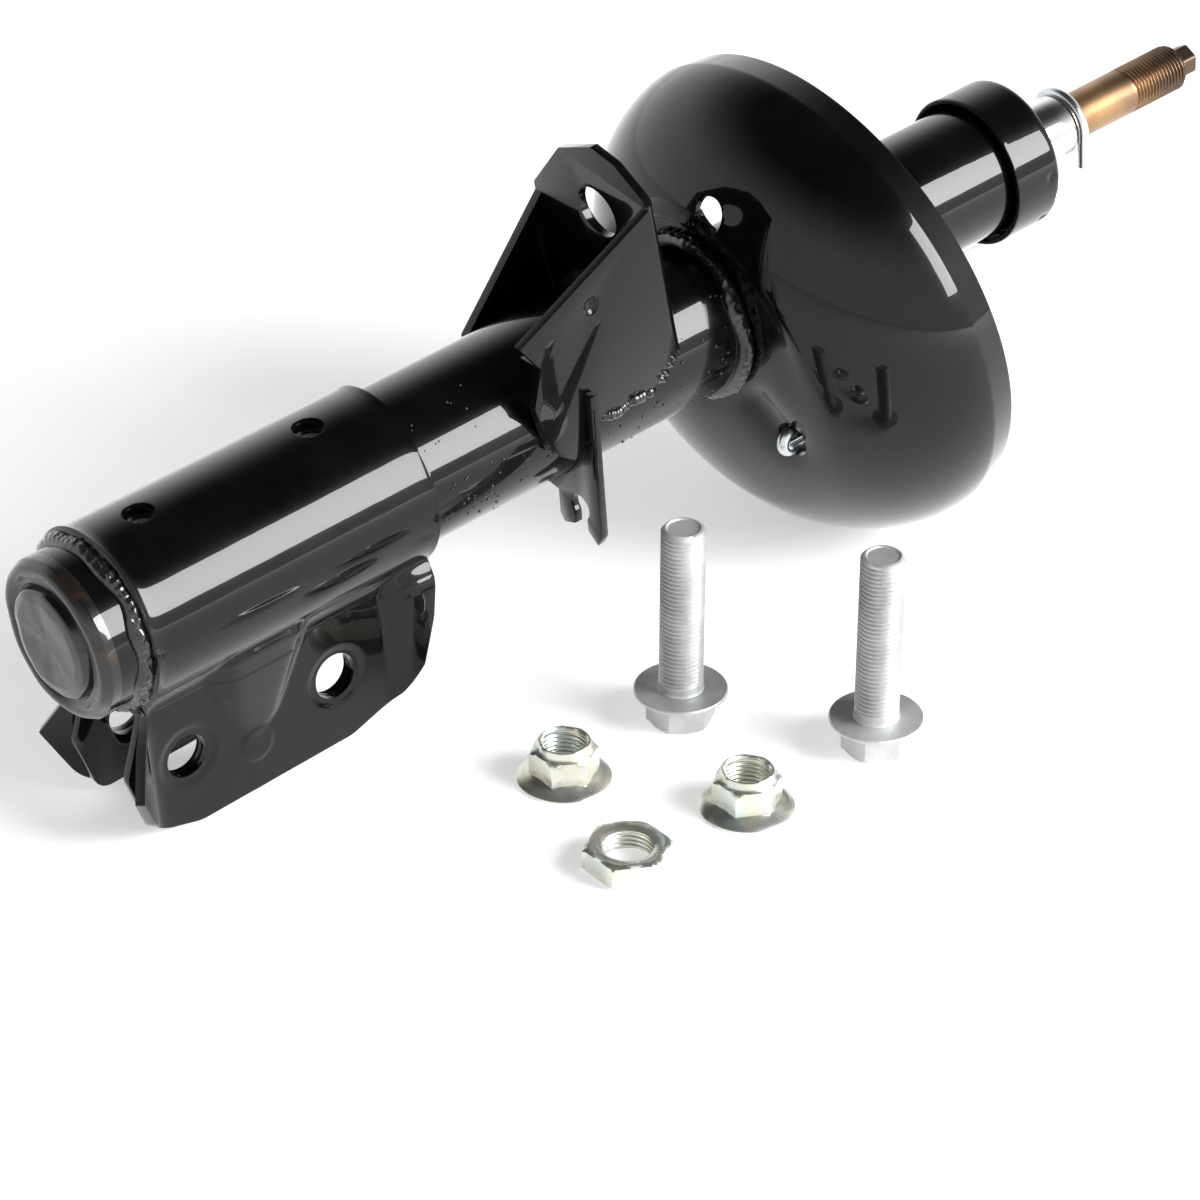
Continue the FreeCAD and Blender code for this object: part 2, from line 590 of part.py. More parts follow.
web_slab = extrusion("web_slab", "XZ", [
    (fold_at("link_side_foot_z"), "link_side_foot_z"), (fold_at("link_crest_z"), "link_crest_z"),
    (fold_at("link_crest_z") + " - link_sheet", "link_crest_z"),
    (fold_at("link_side_foot_z") + " - link_sheet", "link_side_foot_z"),
], "-tube_radius - link_sheet", "2 * (tube_radius + link_sheet)")
link_web = common("link_web", [web_face, web_slab])
link_solid = fuse("link_solid", [near_plate, near_flange, far_plate, link_web])


def is_link_fold(edge):
    """Outer fold edges between the web and the side plates."""
    centre = edge.CenterOfMass
    outside = near(abs(centre.y), number("tube_radius + link_sheet"))
    on_fold = abs(centre.x - number(fold_at("link_fold_foot_z")) - (centre.z - SIZE["link_fold_foot_z"])
                  * number(LEAN)) < 0.05
    slanted = edge.Curve.TypeId == "Part::GeomLine" and abs(edge.Curve.Direction.z) > 0.9
    return outside and on_fold and slanted


link_rounded = rounded("link_rounded", link_solid, "link_bend", is_link_fold)
link_bore = solid_cylinder(
    "link_bore", "link_hole_radius", "2 * tube_radius", "link_fold_top - tube_radius",
    "link_hole_y", "link_hole_z")
saddle = solid_cylinder(
    "saddle", "tube_radius", "link_fold_foot - link_near_tip_x + tube_radius", "link_near_tip_x")
link_bracket = cut("link_bracket", link_rounded, [link_bore, saddle])
finish(link_bracket, "link_bracket")

# Brake hose bracket: a plate square to the tube whose open slot looks down, proud of the near plate
hose_plate = extrusion("hose_plate", "YZ", [
    ("-tube_radius - link_sheet", "hose_top_z"),
    ("-tube_radius - link_sheet - hose_edge_out", "hose_top_z"),
    ("-tube_radius - link_sheet - hose_edge_out", "hose_shoulder_z"), ("hose_tip_y", "hose_tip_z"),
    ("hose_slot_y - hose_mouth_width / 2", "hose_heel_z"),
    ("hose_slot_y + hose_mouth_width / 2", "hose_heel_z"),
    ("hose_prong_y - 2 * hose_prong_bevel / 3", "hose_prong_foot"), ("hose_prong_y", "hose_prong_shoulder"),
    ("hose_prong_y", "hose_neck_z"), ("hose_root_y", "-tube_radius - hose_root_out"),
    ("hose_root_y", "-tube_radius + link_sheet"), ("-tube_radius + 2 * link_sheet", "hose_inside_z"),
    ("-tube_radius - link_sheet", "hose_inside_z"),
], "hose_plate_start", "hose_plate_sheet")
hose_slot = solid_cylinder(
    "hose_slot", "hose_slot_radius", "3 * hose_plate_sheet", "hose_plate_start - hose_plate_sheet",
    "hose_slot_y", "hose_slot_z")
hose_mouth = extrusion("hose_mouth", "YZ", [
    ("hose_slot_y - hose_mouth_width / 2", "hose_slot_z"),
    ("hose_slot_y + hose_mouth_width / 2", "hose_slot_z"),
    ("hose_slot_y + hose_mouth_width / 2", "hose_tip_z"),
    ("hose_slot_y - hose_mouth_width / 2", "hose_tip_z"),
], "hose_plate_start - hose_plate_sheet", "3 * hose_plate_sheet")
hose_saddle = solid_cylinder(
    "hose_saddle", "tube_radius", "3 * hose_plate_sheet", "hose_plate_start - hose_plate_sheet")
hose_bracket = cut("hose_bracket", hose_plate, [hose_saddle, hose_slot, hose_mouth])
finish(hose_bracket, "hose_bracket")

# Spring seat: a deep pan whose flat bottom is square to the tube and whose rim leans
pan = loft("pan", seat_profile(0))
hollow = loft("hollow", seat_profile(1))
seat_bore = solid_cylinder(
    "seat_bore", "tube_radius + seat_hole_clearance", "2 * seat_bowl_depth",
    "swage_start - seat_bowl_depth")


def drain(name, angle, circle):
    """Hole along the axis through the pan."""
    y = "%s * cos(%s)" % (circle, angle)
    z = "%s * sin(%s)" % (circle, angle)
    return solid_cylinder(name, "drain_radius", "2 * seat_bowl_depth",
    "swage_start - seat_bowl_depth", y, z)


spring_seat = cut("spring_seat", pan, [
    hollow, seat_bore, drain("top_drain", "drain_top_angle", "drain_circle"),
    drain("near_drain", "drain_near_angle", "drain_low_circle"), drain("far_drain",
    "drain_far_angle", "drain_circle"),
])
finish(spring_seat, "spring_seat")
SEAT_BACK = "-(seat_lip_depth + seat_bowl_depth) * cos(seat_tilt)"
weld_ring("seat_weld", SEAT_BACK, "-1")

# Bump stop cup pressed over the tube's end
bump_cup = new_body("bump_cup")
cup = revolve(bump_cup, "bump_cup", [
    ("cup_start", "cup_radius - cup_wall"), ("cup_start", "cup_radius"), ("cup_end", "cup_radius"),
    ("cup_end", "rod_radius + cup_bore_clearance"), ("tube_end", "rod_radius + cup_bore_clearance"),
    ("tube_end", "neck_radius + press_gap"), ("cup_start + cup_skirt", "neck_radius + press_gap"),
    ("cup_start + cup_skirt", "cup_radius - cup_wall"),
])


def is_cup_edge(edge):
    if edge.Curve.TypeId != "Part::GeomCircle":
        return False
    return near(edge.Curve.Center.x, SIZE["cup_end"]) and near(edge.Curve.Radius, SIZE["cup_radius"])


round_edges(bump_cup, "bump_cup_round", cup, "cup_round", is_cup_edge)
finish(bump_cup, "bump_cup")

# Inside the tube, from the left: foot valve, pressure tube, rod guide with its bush, seal
FOOT_END = "tube_start + cap_plug_depth + foot_length"
SEAL_END = "tube_end - lip_thickness"
GUIDE_END = "(%s - seal_length)" % SEAL_END
GUIDE_START = "(%s - guide_length)" % GUIDE_END
NECK_BORE = "neck_radius - tube_wall"
foot_valve = new_body("foot_valve")
revolve(foot_valve, "foot_valve", [
    ("tube_start + cap_plug_depth", "0"), ("tube_start + cap_plug_depth", "foot_radius"),
    (FOOT_END, "foot_radius"), (FOOT_END, "pressure_radius"),
    (FOOT_END + " + foot_spigot", "pressure_radius"), (FOOT_END + " + foot_spigot", "0"),
])
finish(foot_valve, "foot_valve")

pressure_tube = new_body("pressure_tube")
revolve(pressure_tube, "pressure_tube", [
    (FOOT_END, "pressure_radius"), (FOOT_END, "pressure_radius + pressure_wall"),
    (GUIDE_START, "pressure_radius + pressure_wall"), (GUIDE_START, "pressure_radius"),
])
finish(pressure_tube, "pressure_tube")

BUSH_RADIUS = "rod_radius + running_gap + bush_wall"
rod_guide = new_body("rod_guide")
revolve(rod_guide, "rod_guide", [
    (GUIDE_START + " - guide_spigot", BUSH_RADIUS), (GUIDE_START + " - guide_spigot", "pressure_radius"),
    (GUIDE_START, "pressure_radius"), (GUIDE_START, NECK_BORE), (GUIDE_END, NECK_BORE),
    (GUIDE_END, BUSH_RADIUS),
])
finish(rod_guide, "rod_guide")

guide_bush = new_body("guide_bush")
revolve(guide_bush, "guide_bush", [
    (GUIDE_START + " - guide_spigot", "rod_radius + running_gap"),
    (GUIDE_START + " - guide_spigot", BUSH_RADIUS),
    (GUIDE_END + " - bush_margin", BUSH_RADIUS), (GUIDE_END + " - bush_margin", "rod_radius + running_gap"),
])
finish(guide_bush, "guide_bush")

rod_seal = new_body("rod_seal")
revolve(rod_seal, "rod_seal", [
    (GUIDE_END, "rod_radius + running_gap"), (GUIDE_END, NECK_BORE), (SEAL_END, NECK_BORE),
    (SEAL_END, "rod_radius + running_gap"),
])
finish(rod_seal, "rod_seal")

# Piston rod: chromed shaft, slimmer shank, thread and a spigot with flats; a stud inside
STOP_FACE = "(%s - guide_spigot - travel_out - stop_margin)" % GUIDE_START
PISTON_START = "(%s - piston_distance)" % STOP_FACE
rod_turned = new_body("rod_turned")
THREAD_END = "thread_start + thread_length"
rod_shape = revolve(rod_turned, "rod_turned", [
    (PISTON_START + " - stud_length", "0"), (PISTON_START + " - stud_length", "piston_stud"),
    (PISTON_START, "piston_stud"), (PISTON_START, "rod_radius"), ("shoulder_x - rod_chamfer", "rod_radius"),
    ("shoulder_x", "rod_radius - rod_chamfer"), ("shoulder_x", "shank_radius"),
    ("thread_start", "shank_radius"), ("thread_start + thread_relief", "thread_radius"),
    (THREAD_END + " - rod_chamfer", "thread_radius"), (THREAD_END, "thread_radius - rod_chamfer"),
    (THREAD_END, "0"),
])


def hexagon(flats):
    """Corners of a hexagon from its width across flats, as formulas."""
    corners = []
    for k in range(6):
        angle = 60 * k + 30
        corners.append(tuple("%s / 2 / cos(30) * %s(%d)" % (flats, turn, angle) for turn in ("cos", "sin")))
    return corners


spigot = extrusion("spigot", "YZ", hexagon("spigot_flats"), THREAD_END, "spigot_length")
piston_rod = fuse("piston_rod", [rod_turned, spigot])
finish(piston_rod, "piston_rod")

piston = new_body("piston")
BAND_BED = "pressure_radius - running_gap - band_thickness"
revolve(piston, "piston", [
    (PISTON_START + " - piston_length", "piston_stud"), (PISTON_START + " - piston_length", BAND_BED),
    (PISTON_START, BAND_BED), (PISTON_START, "piston_stud"),
])
finish(piston, "piston")

BAND_START = PISTON_START + " - piston_length / 2 - band_width / 2"
piston_band = new_body("piston_band")
revolve(piston_band, "piston_band", [
    (BAND_START, BAND_BED), (BAND_START, "pressure_radius - running_gap"),
    (BAND_START + " + band_width", "pressure_radius - running_gap"),
    (BAND_START + " + band_width", BAND_BED),
])
finish(piston_band, "piston_band")

DISCS_START = PISTON_START + " - piston_length - discs_thickness"
valve_discs = new_body("valve_discs")
revolve(valve_discs, "valve_discs", [
    (DISCS_START, "piston_stud"), (DISCS_START, "discs_radius"),
    (DISCS_START + " + discs_thickness", "discs_radius"),
    (DISCS_START + " + discs_thickness", "piston_stud"),
])
finish(valve_discs, "valve_discs")

nut_blank = extrusion(
    "nut_blank", "YZ", hexagon("piston_nut_flats"), DISCS_START + " - piston_nut_height",
    "piston_nut_height")
piston_nut = cut("piston_nut", nut_blank, [solid_cylinder(
    "piston_nut_bore", "piston_stud", "3 * piston_nut_height", DISCS_START + " - 2 * piston_nut_height")])
finish(piston_nut, "piston_nut")

rebound_stop = new_body("rebound_stop")
revolve(rebound_stop, "rebound_stop", [
    (STOP_FACE + " - stop_length", "rod_radius"), (STOP_FACE + " - stop_length", "rod_radius + stop_wall"),
    (STOP_FACE, "rod_radius + stop_wall"), (STOP_FACE, "rod_radius"),
])
finish(rebound_stop, "rebound_stop")


# Retaining wire: a ring round the shank, a leg beside the tube and a narrow hook in a drain hole
def tangent_path(points, radii):
    """Wire of straight runs joined by tangent arcs, one radius for each inner point."""
    edges = []
    start = points[0]
    for index, radius in enumerate(radii, start=1):
        corner = points[index]
        back = (points[index - 1] - corner).normalize()
        ahead = (points[index + 1] - corner).normalize()
        half = back.getAngle(ahead) / 2
        reach = radius / math.tan(half)
        middle = (back + ahead).normalize()
        rise = radius / math.sin(half) - radius
        edges.append(Part.LineSegment(start, corner + back * reach).toShape())
        arc = Part.Arc(corner + back * reach, corner + middle * rise, corner + ahead * reach)
        edges.append(arc.toShape())
        start = corner + ahead * reach
    edges.append(Part.LineSegment(start, points[-1]).toShape())
    return edges


def wire_centre_line():
    """Route of the wire from its cut end beside the rod to its hook in the pan's lower drain."""
    x_ring = SIZE["shoulder_x"] + SIZE["wire_radius"] + SIZE["wire_shoulder_gap"]
    ring = SIZE["shank_radius"] + SIZE["wire_radius"] + SIZE["wire_ring_gap"]
    leg = -SIZE["wire_leg_z"]
    touch = math.asin(ring / leg)
    tangent = Vector(x_ring, ring * math.cos(touch), -ring * math.sin(touch))
    top = Vector(x_ring, ring * math.cos(math.pi / 2.2), ring * math.sin(math.pi / 2.2))
    side = Vector(x_ring, -ring, 0)
    edges = [Part.LineSegment(Vector(x_ring, -ring, -SIZE["wire_end_drop"]), side).toShape()]
    edges.append(Part.Arc(side, top, tangent).toShape())
    angle = math.radians(SIZE["drain_near_angle"])
    hole = Vector(0, SIZE["drain_low_circle"] * math.cos(angle), SIZE["drain_low_circle"] * math.sin(angle))
    hook = SIZE["wire_hook_radius"]
    far_leg = hole + Vector(0, 0, -hook)
    near_leg = hole + Vector(0, 0, hook)
    tip = number(SEAT_BACK) + SIZE["wire_hook_depth"] - SIZE["wire_hook_reach"]
    corners = [
        tangent, Vector(x_ring, 0, -leg), Vector(SIZE["wire_slant_end"], 0, -leg),
        Vector(SIZE["wire_slant_start"], far_leg.y, far_leg.z), Vector(tip, far_leg.y, far_leg.z),
    ]
    bends = [SIZE["wire_leg_bend"], SIZE["wire_slant_bend"], SIZE["wire_slant_bend"]]
    edges += tangent_path(corners, bends)
    hook_end = Vector(tip, near_leg.y, near_leg.z)
    edges.append(Part.Arc(corners[-1], Vector(tip - hook, hole.y, hole.z), hook_end).toShape())
    edges.append(Part.LineSegment(hook_end, hook_end + Vector(SIZE["wire_hook_end"], 0, 0)).toShape())
    return Part.Wire(edges)


path = wire_centre_line()
round_section = Part.Wire([Part.makeCircle(
    SIZE["wire_radius"], path.Edges[0].valueAt(path.Edges[0].FirstParameter), Z_AXIS)])
retaining_wire = doc.addObject("Part::Feature", "retaining_wire")
retaining_wire.Shape = path.makePipeShell([round_section], True, False)
finish(retaining_wire, "retaining_wire")


# Loose fasteners standing on the floor beside the strut
def place_on_floor(piece, x, y):
    """Stand a fastener drawn about the z axis on the floor."""
    bind(piece, "Placement.Base.x", x + SHIFT_X)
    bind(piece, "Placement.Base.y", y)
    bind(piece, "Placement.Base.z", "0" + SHIFT_Z + " - axis_height")


def upright_turn(name, points):
    """Solid of revolution about the z axis from (radius, height) corners."""
    body = new_body(name)
    sketch = sketch_on(body, name + "_profile", "XZ_Plane")
    draw_outline(sketch, points)
    feature = body.newObject("PartDesign::Revolution", name + "_turn")
    feature.Profile = sketch
    feature.ReferenceAxis = (sketch, ["V_Axis"])
    feature.Angle = 360
    return body


def hex_prism(name, flats, start, length):
    return extrusion(name, "XY", hexagon(flats), start, length)


def flange_disc(name, start, direction):
    """Washer face that thins to its edge; direction 1 puts the flat face below."""
    top = "%s + %s * flange_thickness" % (start, direction)
    edge = "%s + %s * flange_edge" % (start, direction)
    return upright_turn(name, [
        ("0", start), ("flange_radius", start), ("flange_radius", edge), ("bolt_flats / 2", top),
        ("0", top)])


def flange_bolt(name, x, y):
    """Bolt that stands on its head, thread upward."""
    base = "bolt_head + flange_thickness"
    head = hex_prism(name + "_head", "bolt_flats", "0", "bolt_head")
    flange = flange_disc(name + "_flange", base, "-1")
    stem = upright_turn(name + "_stem", [
        ("0", "bolt_head"), ("bolt_radius", "bolt_head"),
        ("bolt_radius", base + " + bolt_length - bolt_chamfer"),
        ("bolt_radius - bolt_chamfer", base + " + bolt_length"), ("0", base + " + bolt_length")])
    bolt = fuse(name, [head, flange, stem])
    place_on_floor(bolt, x, y)
    return bolt


def flange_nut(name, x, y):
    """Nut that stands on its flange with its locking collar up."""
    crown = "nut_height - nut_collar"
    prism = hex_prism(name + "_prism", "nut_flats", "0", crown)
    collar = solid_cylinder(name + "_collar", "nut_collar_radius", "nut_collar", "0", "0", crown, Z_AXIS)
    bore = solid_cylinder(name + "_bore", "bolt_radius", "nut_height + 2", "0", "0", "-1", Z_AXIS)
    blank = fuse(name + "_blank", [prism, flange_disc(name + "_flange", "0", "1"), collar])
    nut = cut(name, blank, [bore])
    place_on_floor(nut, x, y)
    return nut


def pair(name, pieces):
    """Group of separate solids under one name."""
    group = doc.addObject("Part::Compound", name)
    group.Links = pieces
    group.Label = name
    PIECES.append((name, group))


pair("knuckle_bolts", [
    flange_bolt("bolt_one", "bolt_one_x", "bolt_one_y"), flange_bolt("bolt_two", "bolt_two_x",
    "bolt_two_y")])
pair("knuckle_nuts", [
    flange_nut("nut_one", "nut_one_x", "nut_one_y"), flange_nut("nut_two", "nut_two_x", "nut_two_y")])

NUT_CORNER = "rod_nut_flats / 2 / cos(30)"
NUT_BEVEL = "(%s - rod_nut_flats / 2) * tan(30)" % NUT_CORNER
rod_nut_blank = common("rod_nut_blank", [
    hex_prism("rod_nut_prism", "rod_nut_flats", "0", "rod_nut_height"),
    upright_turn("rod_nut_limits", [
        ("0", "0"), ("rod_nut_flats / 2", "0"), (NUT_CORNER, NUT_BEVEL),
        (NUT_CORNER, "rod_nut_height - " + NUT_BEVEL),
        ("rod_nut_flats / 2", "rod_nut_height"), ("0", "rod_nut_height")])])
rod_nut = cut("rod_nut", rod_nut_blank, [
    solid_cylinder("rod_nut_bore", "thread_radius", "rod_nut_height + 2", "0", "0", "-1", Z_AXIS)])
place_on_floor(rod_nut, "rod_nut_x", "rod_nut_y")
rod_nut.Label = "rod_nut"
PIECES.append(("rod_nut", rod_nut))

# Check every object, then write one file for each piece
doc.recompute()
for thing in doc.Objects:
    if "Invalid" in thing.State or "Error" in thing.State:
        raise RuntimeError("%s: %s" % (thing.Name, thing.State))
os.makedirs("parts", exist_ok=True)
print("lying pitch %.6f degrees, axis height %.4f mm" % (PITCH, AXIS_HEIGHT))
for name, piece in PIECES:
    shape = piece.Shape
    if shape.isNull() or not shape.isValid() or not shape.Solids:
        raise RuntimeError("%s has no sound solid" % name)
for name, piece in PIECES:
    shape = piece.Shape
    box = shape.BoundBox
    print("%-16s solids %d volume %9.0f  x %7.1f %7.1f  y %6.1f %6.1f  z %6.1f %6.1f" % (
        name, len(shape.Solids), shape.Volume, box.XMin, box.XMax, box.YMin, box.YMax, box.ZMin, box.ZMax))
    shape.exportStep("parts/%s.step" % name)
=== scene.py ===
import json
import math

import bmesh
import bpy
import numpy as np
from mathutils import Matrix, Vector


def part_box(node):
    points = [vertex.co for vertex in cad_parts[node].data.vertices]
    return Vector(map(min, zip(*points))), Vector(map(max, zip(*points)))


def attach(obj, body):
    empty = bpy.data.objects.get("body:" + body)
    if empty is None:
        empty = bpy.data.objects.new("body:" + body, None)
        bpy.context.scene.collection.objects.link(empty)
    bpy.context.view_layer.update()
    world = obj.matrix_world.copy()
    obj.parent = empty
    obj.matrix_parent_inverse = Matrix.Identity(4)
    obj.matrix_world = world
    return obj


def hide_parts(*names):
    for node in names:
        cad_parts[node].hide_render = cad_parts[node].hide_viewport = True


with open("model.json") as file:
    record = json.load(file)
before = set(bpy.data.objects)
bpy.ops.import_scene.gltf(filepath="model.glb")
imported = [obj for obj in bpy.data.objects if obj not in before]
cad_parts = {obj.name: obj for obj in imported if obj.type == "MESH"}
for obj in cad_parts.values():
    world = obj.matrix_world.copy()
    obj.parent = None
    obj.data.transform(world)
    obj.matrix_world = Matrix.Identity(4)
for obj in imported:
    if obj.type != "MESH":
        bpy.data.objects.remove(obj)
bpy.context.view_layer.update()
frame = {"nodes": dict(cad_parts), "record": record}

bl_info = {
    "name": "Suspension Strut",
    "version": (1, 0, 0),
    "blender": (4, 5, 0),
    "location": "View3D > Sidebar > Strut",
    "description": "Builds the looks of a lying suspension strut around its solids",
    "category": "Object",
}

# Everything is drawn in millimetres along the strut's own axis and then laid down
MM = 0.001
FULL_TURN = 2 * math.pi
PITCH = math.radians(5.09371)
HOLE = (-277.0, 0.0, -48.0)
UPPER_HOLE_X = -221.2
HOLE_RADIUS = 7.2
PLUG_HOLES_X = (-271.0, -208.7)
PLUG_HOLE_RADIUS = 5.0
FLOOR_Z = float(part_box("rod_nut")[0][2])
AXIS_DIRECTION = (math.cos(PITCH), 0.0, math.sin(PITCH))
SHEET = 3.0
TUBE = 26.0
TUBE_BORE = 23.8
TUBE_START = -300.0
TUBE_SLEEVE = 29.0
EAR_SIDE = 18.0
EAR_FILLET = 7.0
SLEEVE_START = -289.5
SLEEVE_END = -184.5
CAP_FACE = -308.2
CUP = 25.8
BOLT_FLATS = 19.0
ROD_NUT_FLATS = 24.0
SPIGOT_FLATS = 9.6
SPIGOT_CORNER = 5.35
BLACK = "gloss_black_paint"
CORNER_SHARE = 0.49


def laid(points):
    """Row frame metres of strut millimetres: shifted to the lower bolt hole, turned by the pitch."""
    p = np.asarray(points, float)
    x = p[..., 0] - HOLE[0]
    z = p[..., 2] - HOLE[2]
    turned = (x * math.cos(PITCH) - z * math.sin(PITCH), p[..., 1], x * math.sin(PITCH) + z * math.cos(PITCH))
    return np.stack(turned, -1) * MM


def smooth_step(t):
    """Rise from 0 to 1 with level ends: 3t^2 - 2t^3 of t held between 0 and 1."""
    t = np.clip(t, 0.0, 1.0)
    return t * t * (3 - 2 * t)


def smooth_max(a, b, width):
    """Larger of two arrays with their crossing rounded over a width."""
    return (a + b + np.sqrt((a - b) ** 2 + width ** 2)) / 2


def smooth_min(a, b, width):
    """Smaller of two arrays with their crossing rounded over a width."""
    return (a + b - np.sqrt((a - b) ** 2 + width ** 2)) / 2


def waves(seed, count, *axes):
    """Soft noise between about -1 and 1: a sum of sines of whole frequencies along angles in radians."""
    draw = np.random.default_rng(seed)
    total = np.zeros(np.broadcast(*axes).shape)
    for _ in range(count):
        phase = draw.uniform(0, FULL_TURN)
        for axis in axes:
            phase = phase + axis * int(draw.integers(1, count + 1))
        total = total + np.sin(phase)
    return total / math.sqrt(count)


# Meshes

def quads(rows, columns, wrap_rows, wrap_columns):
    """Corner numbers of the quads of a grid, closed round where wrapped."""
    i = np.arange(rows if wrap_rows else rows - 1)[:, None]
    j = np.arange(columns if wrap_columns else columns - 1)[None, :]
    i2 = (i + 1) % rows
    j2 = (j + 1) % columns
    corners = [i * columns + j, i * columns + j2, i2 * columns + j2, i2 * columns + j]
    return np.stack(corners, -1).reshape(-1, 4)


def make_piece(name, grids, materials, sharp=35.0, merge=2e-6):
    """One mesh of several grids of points: (points, wrap rows, wrap columns, material number)."""
    corners, faces, slots, start = [], [], [], 0
    for points, wrap_rows, wrap_columns, slot in grids:
        rows, columns = points.shape[:2]
        face = quads(rows, columns, wrap_rows, wrap_columns) + start
        corners.append(points.reshape(-1, 3))
        faces.append(face)
        slots.append(np.full(len(face), slot, np.int32))
        start += rows * columns
    mesh = bpy.data.meshes.new(name)
    mesh.from_pydata(np.concatenate(corners), [], np.concatenate(faces))
    mesh.polygons.foreach_set("material_index", np.concatenate(slots))
    for material in materials:
        mesh.materials.append(material)
    edit = bmesh.new()
    edit.from_mesh(mesh)
    bmesh.ops.remove_doubles(edit, verts=edit.verts, dist=merge)
    bmesh.ops.dissolve_degenerate(edit, edges=edit.edges, dist=merge / 4)
    bmesh.ops.recalc_face_normals(edit, faces=edit.faces)
    edit.to_mesh(mesh)
    edit.free()
    piece = bpy.data.objects.new(name, mesh)
    bpy.context.scene.collection.objects.link(piece)
    shade(mesh, sharp)
    return piece


def shade(mesh, sharp):
    """Smooth shading with edges sharper than an angle in degrees kept sharp."""
    mesh.polygons.foreach_set("use_smooth", np.ones(len(mesh.polygons), bool))
    mesh.set_sharp_from_angle(angle=math.radians(sharp))


def bake(piece, sharp=35.0):
    """Apply a piece's modifiers."""
    state = bpy.context.evaluated_depsgraph_get()
    mesh = bpy.data.meshes.new_from_object(piece.evaluated_get(state))
    piece.modifiers.clear()
    old = piece.data
    piece.data = mesh
    mesh.name = piece.name
    bpy.data.meshes.remove(old)
    shade(mesh, sharp)


def round_corners(points, radii, steps=5):
    """Open or closed profile in a plane with each corner replaced by an arc of its radius."""
    p = [np.array(q, float) for q in points]
    out = [p[0]]
    for before, corner, after, radius in zip(p, p[1:], p[2:], radii):
        if radius <= 0:
            out.append(corner)
            continue
        a = (before - corner) / np.linalg.norm(before - corner)
        b = (after - corner) / np.linalg.norm(after - corner)
        half = math.acos(np.clip(a @ b, -1, 1)) / 2
        reach = min(radius / math.tan(half), CORNER_SHARE * np.linalg.norm(before - corner),
                    CORNER_SHARE * np.linalg.norm(after - corner))
        t = np.linspace(0, 1, steps + 1)[:, None]
        start, end = corner + a * reach, corner + b * reach
        out.extend((1 - t) ** 2 * start + 2 * t * (1 - t) * corner + t ** 2 * end)
    out.append(p[-1])
    return np.array(out)


def refine(profile, step):
    """Profile with extra points so that no run is longer than a step."""
    rows = [profile[:1]]
    for a, b in zip(profile, profile[1:]):
        count = max(1, int(math.ceil(np.linalg.norm(b - a) / step)))
        t = np.linspace(0, 1, count + 1)[1:, None]
        rows.append(a + (b - a) * t)
    return np.concatenate(rows)


def turned(profile, segments=160, wobble=None):
    """Profile of (x, radius) carried round the strut's axis; wobble adds to the radius from (x, angle)."""
    angle = np.linspace(0, FULL_TURN, segments, endpoint=False)[None, :]
    x = profile[:, :1] + 0 * angle
    radius = profile[:, 1:] + 0 * angle
    if wobble is not None:
        radius = np.where(radius > 1e-6, radius + wobble(x, angle), radius)
    return laid(np.stack([x, radius * np.cos(angle), radius * np.sin(angle)], -1))


def cylinder_cutter(name, centre, direction, radius, length, stretch=0.0, stretch_along=(0, 0, 1)):
    """Closed round or long-hole prism round a centre, to cut a hole."""
    d = np.array(direction, float)
    u = np.array(stretch_along, float)
    v = np.cross(d, u)
    angle = np.linspace(0, FULL_TURN, 64, endpoint=False)
    ring = np.cos(angle)[:, None] * u * radius + np.sin(angle)[:, None] * v * radius
    ring = ring + np.sign(np.round(np.cos(angle), 6))[:, None] * u * stretch
    along = np.array([-length / 2, -length / 2, length / 2, length / 2])
    share = np.array([0.0, 1.0, 1.0, 0.0])
    points = np.array(centre) + along[:, None, None] * d + share[:, None, None] * ring
    return make_piece(name, [(laid(points), False, True, 0)], [], merge=1e-7)


def cut_away(piece, cutters, sharp=35.0, solver="EXACT"):
    """Take closed shapes out of a piece."""
    for cutter in cutters:
        cut = piece.modifiers.new("cut", "BOOLEAN")
        cut.operation = "DIFFERENCE"
        cut.solver = solver
        cut.object = cutter
    bake(piece, sharp)
    for cutter in cutters:
        mesh = cutter.data
        bpy.data.objects.remove(cutter)
        bpy.data.meshes.remove(mesh)


def soften(piece, width, segments=2, sharp=35.0, angle=30.0):
    """Round the sharp edges of a piece."""
    bevel = piece.modifiers.new("soften", "BEVEL")
    bevel.width = width * MM
    bevel.segments = segments
    bevel.limit_method = "ANGLE"
    bevel.angle_limit = math.radians(angle)
    bevel.use_clamp_overlap = True
    bake(piece, sharp)


def copy_of(node, name, slot):
    """Merged copy of a CAD node's mesh as a new piece with its finish."""
    mesh = frame["nodes"][node].data.copy()
    mesh.name = name
    mesh.materials.clear()
    mesh.materials.append(finish(slot))
    edit = bmesh.new()
    edit.from_mesh(mesh)
    bmesh.ops.remove_doubles(edit, verts=edit.verts, dist=2e-6)
    bmesh.ops.dissolve_limit(edit, angle_limit=math.radians(0.5), verts=edit.verts, edges=edit.edges)
    edit.to_mesh(mesh)
    edit.free()
    if mesh.has_custom_normals:
        mesh.attributes.remove(mesh.attributes["custom_normal"])
    piece = bpy.data.objects.new(name, mesh)
    bpy.context.scene.collection.objects.link(piece)
    return piece


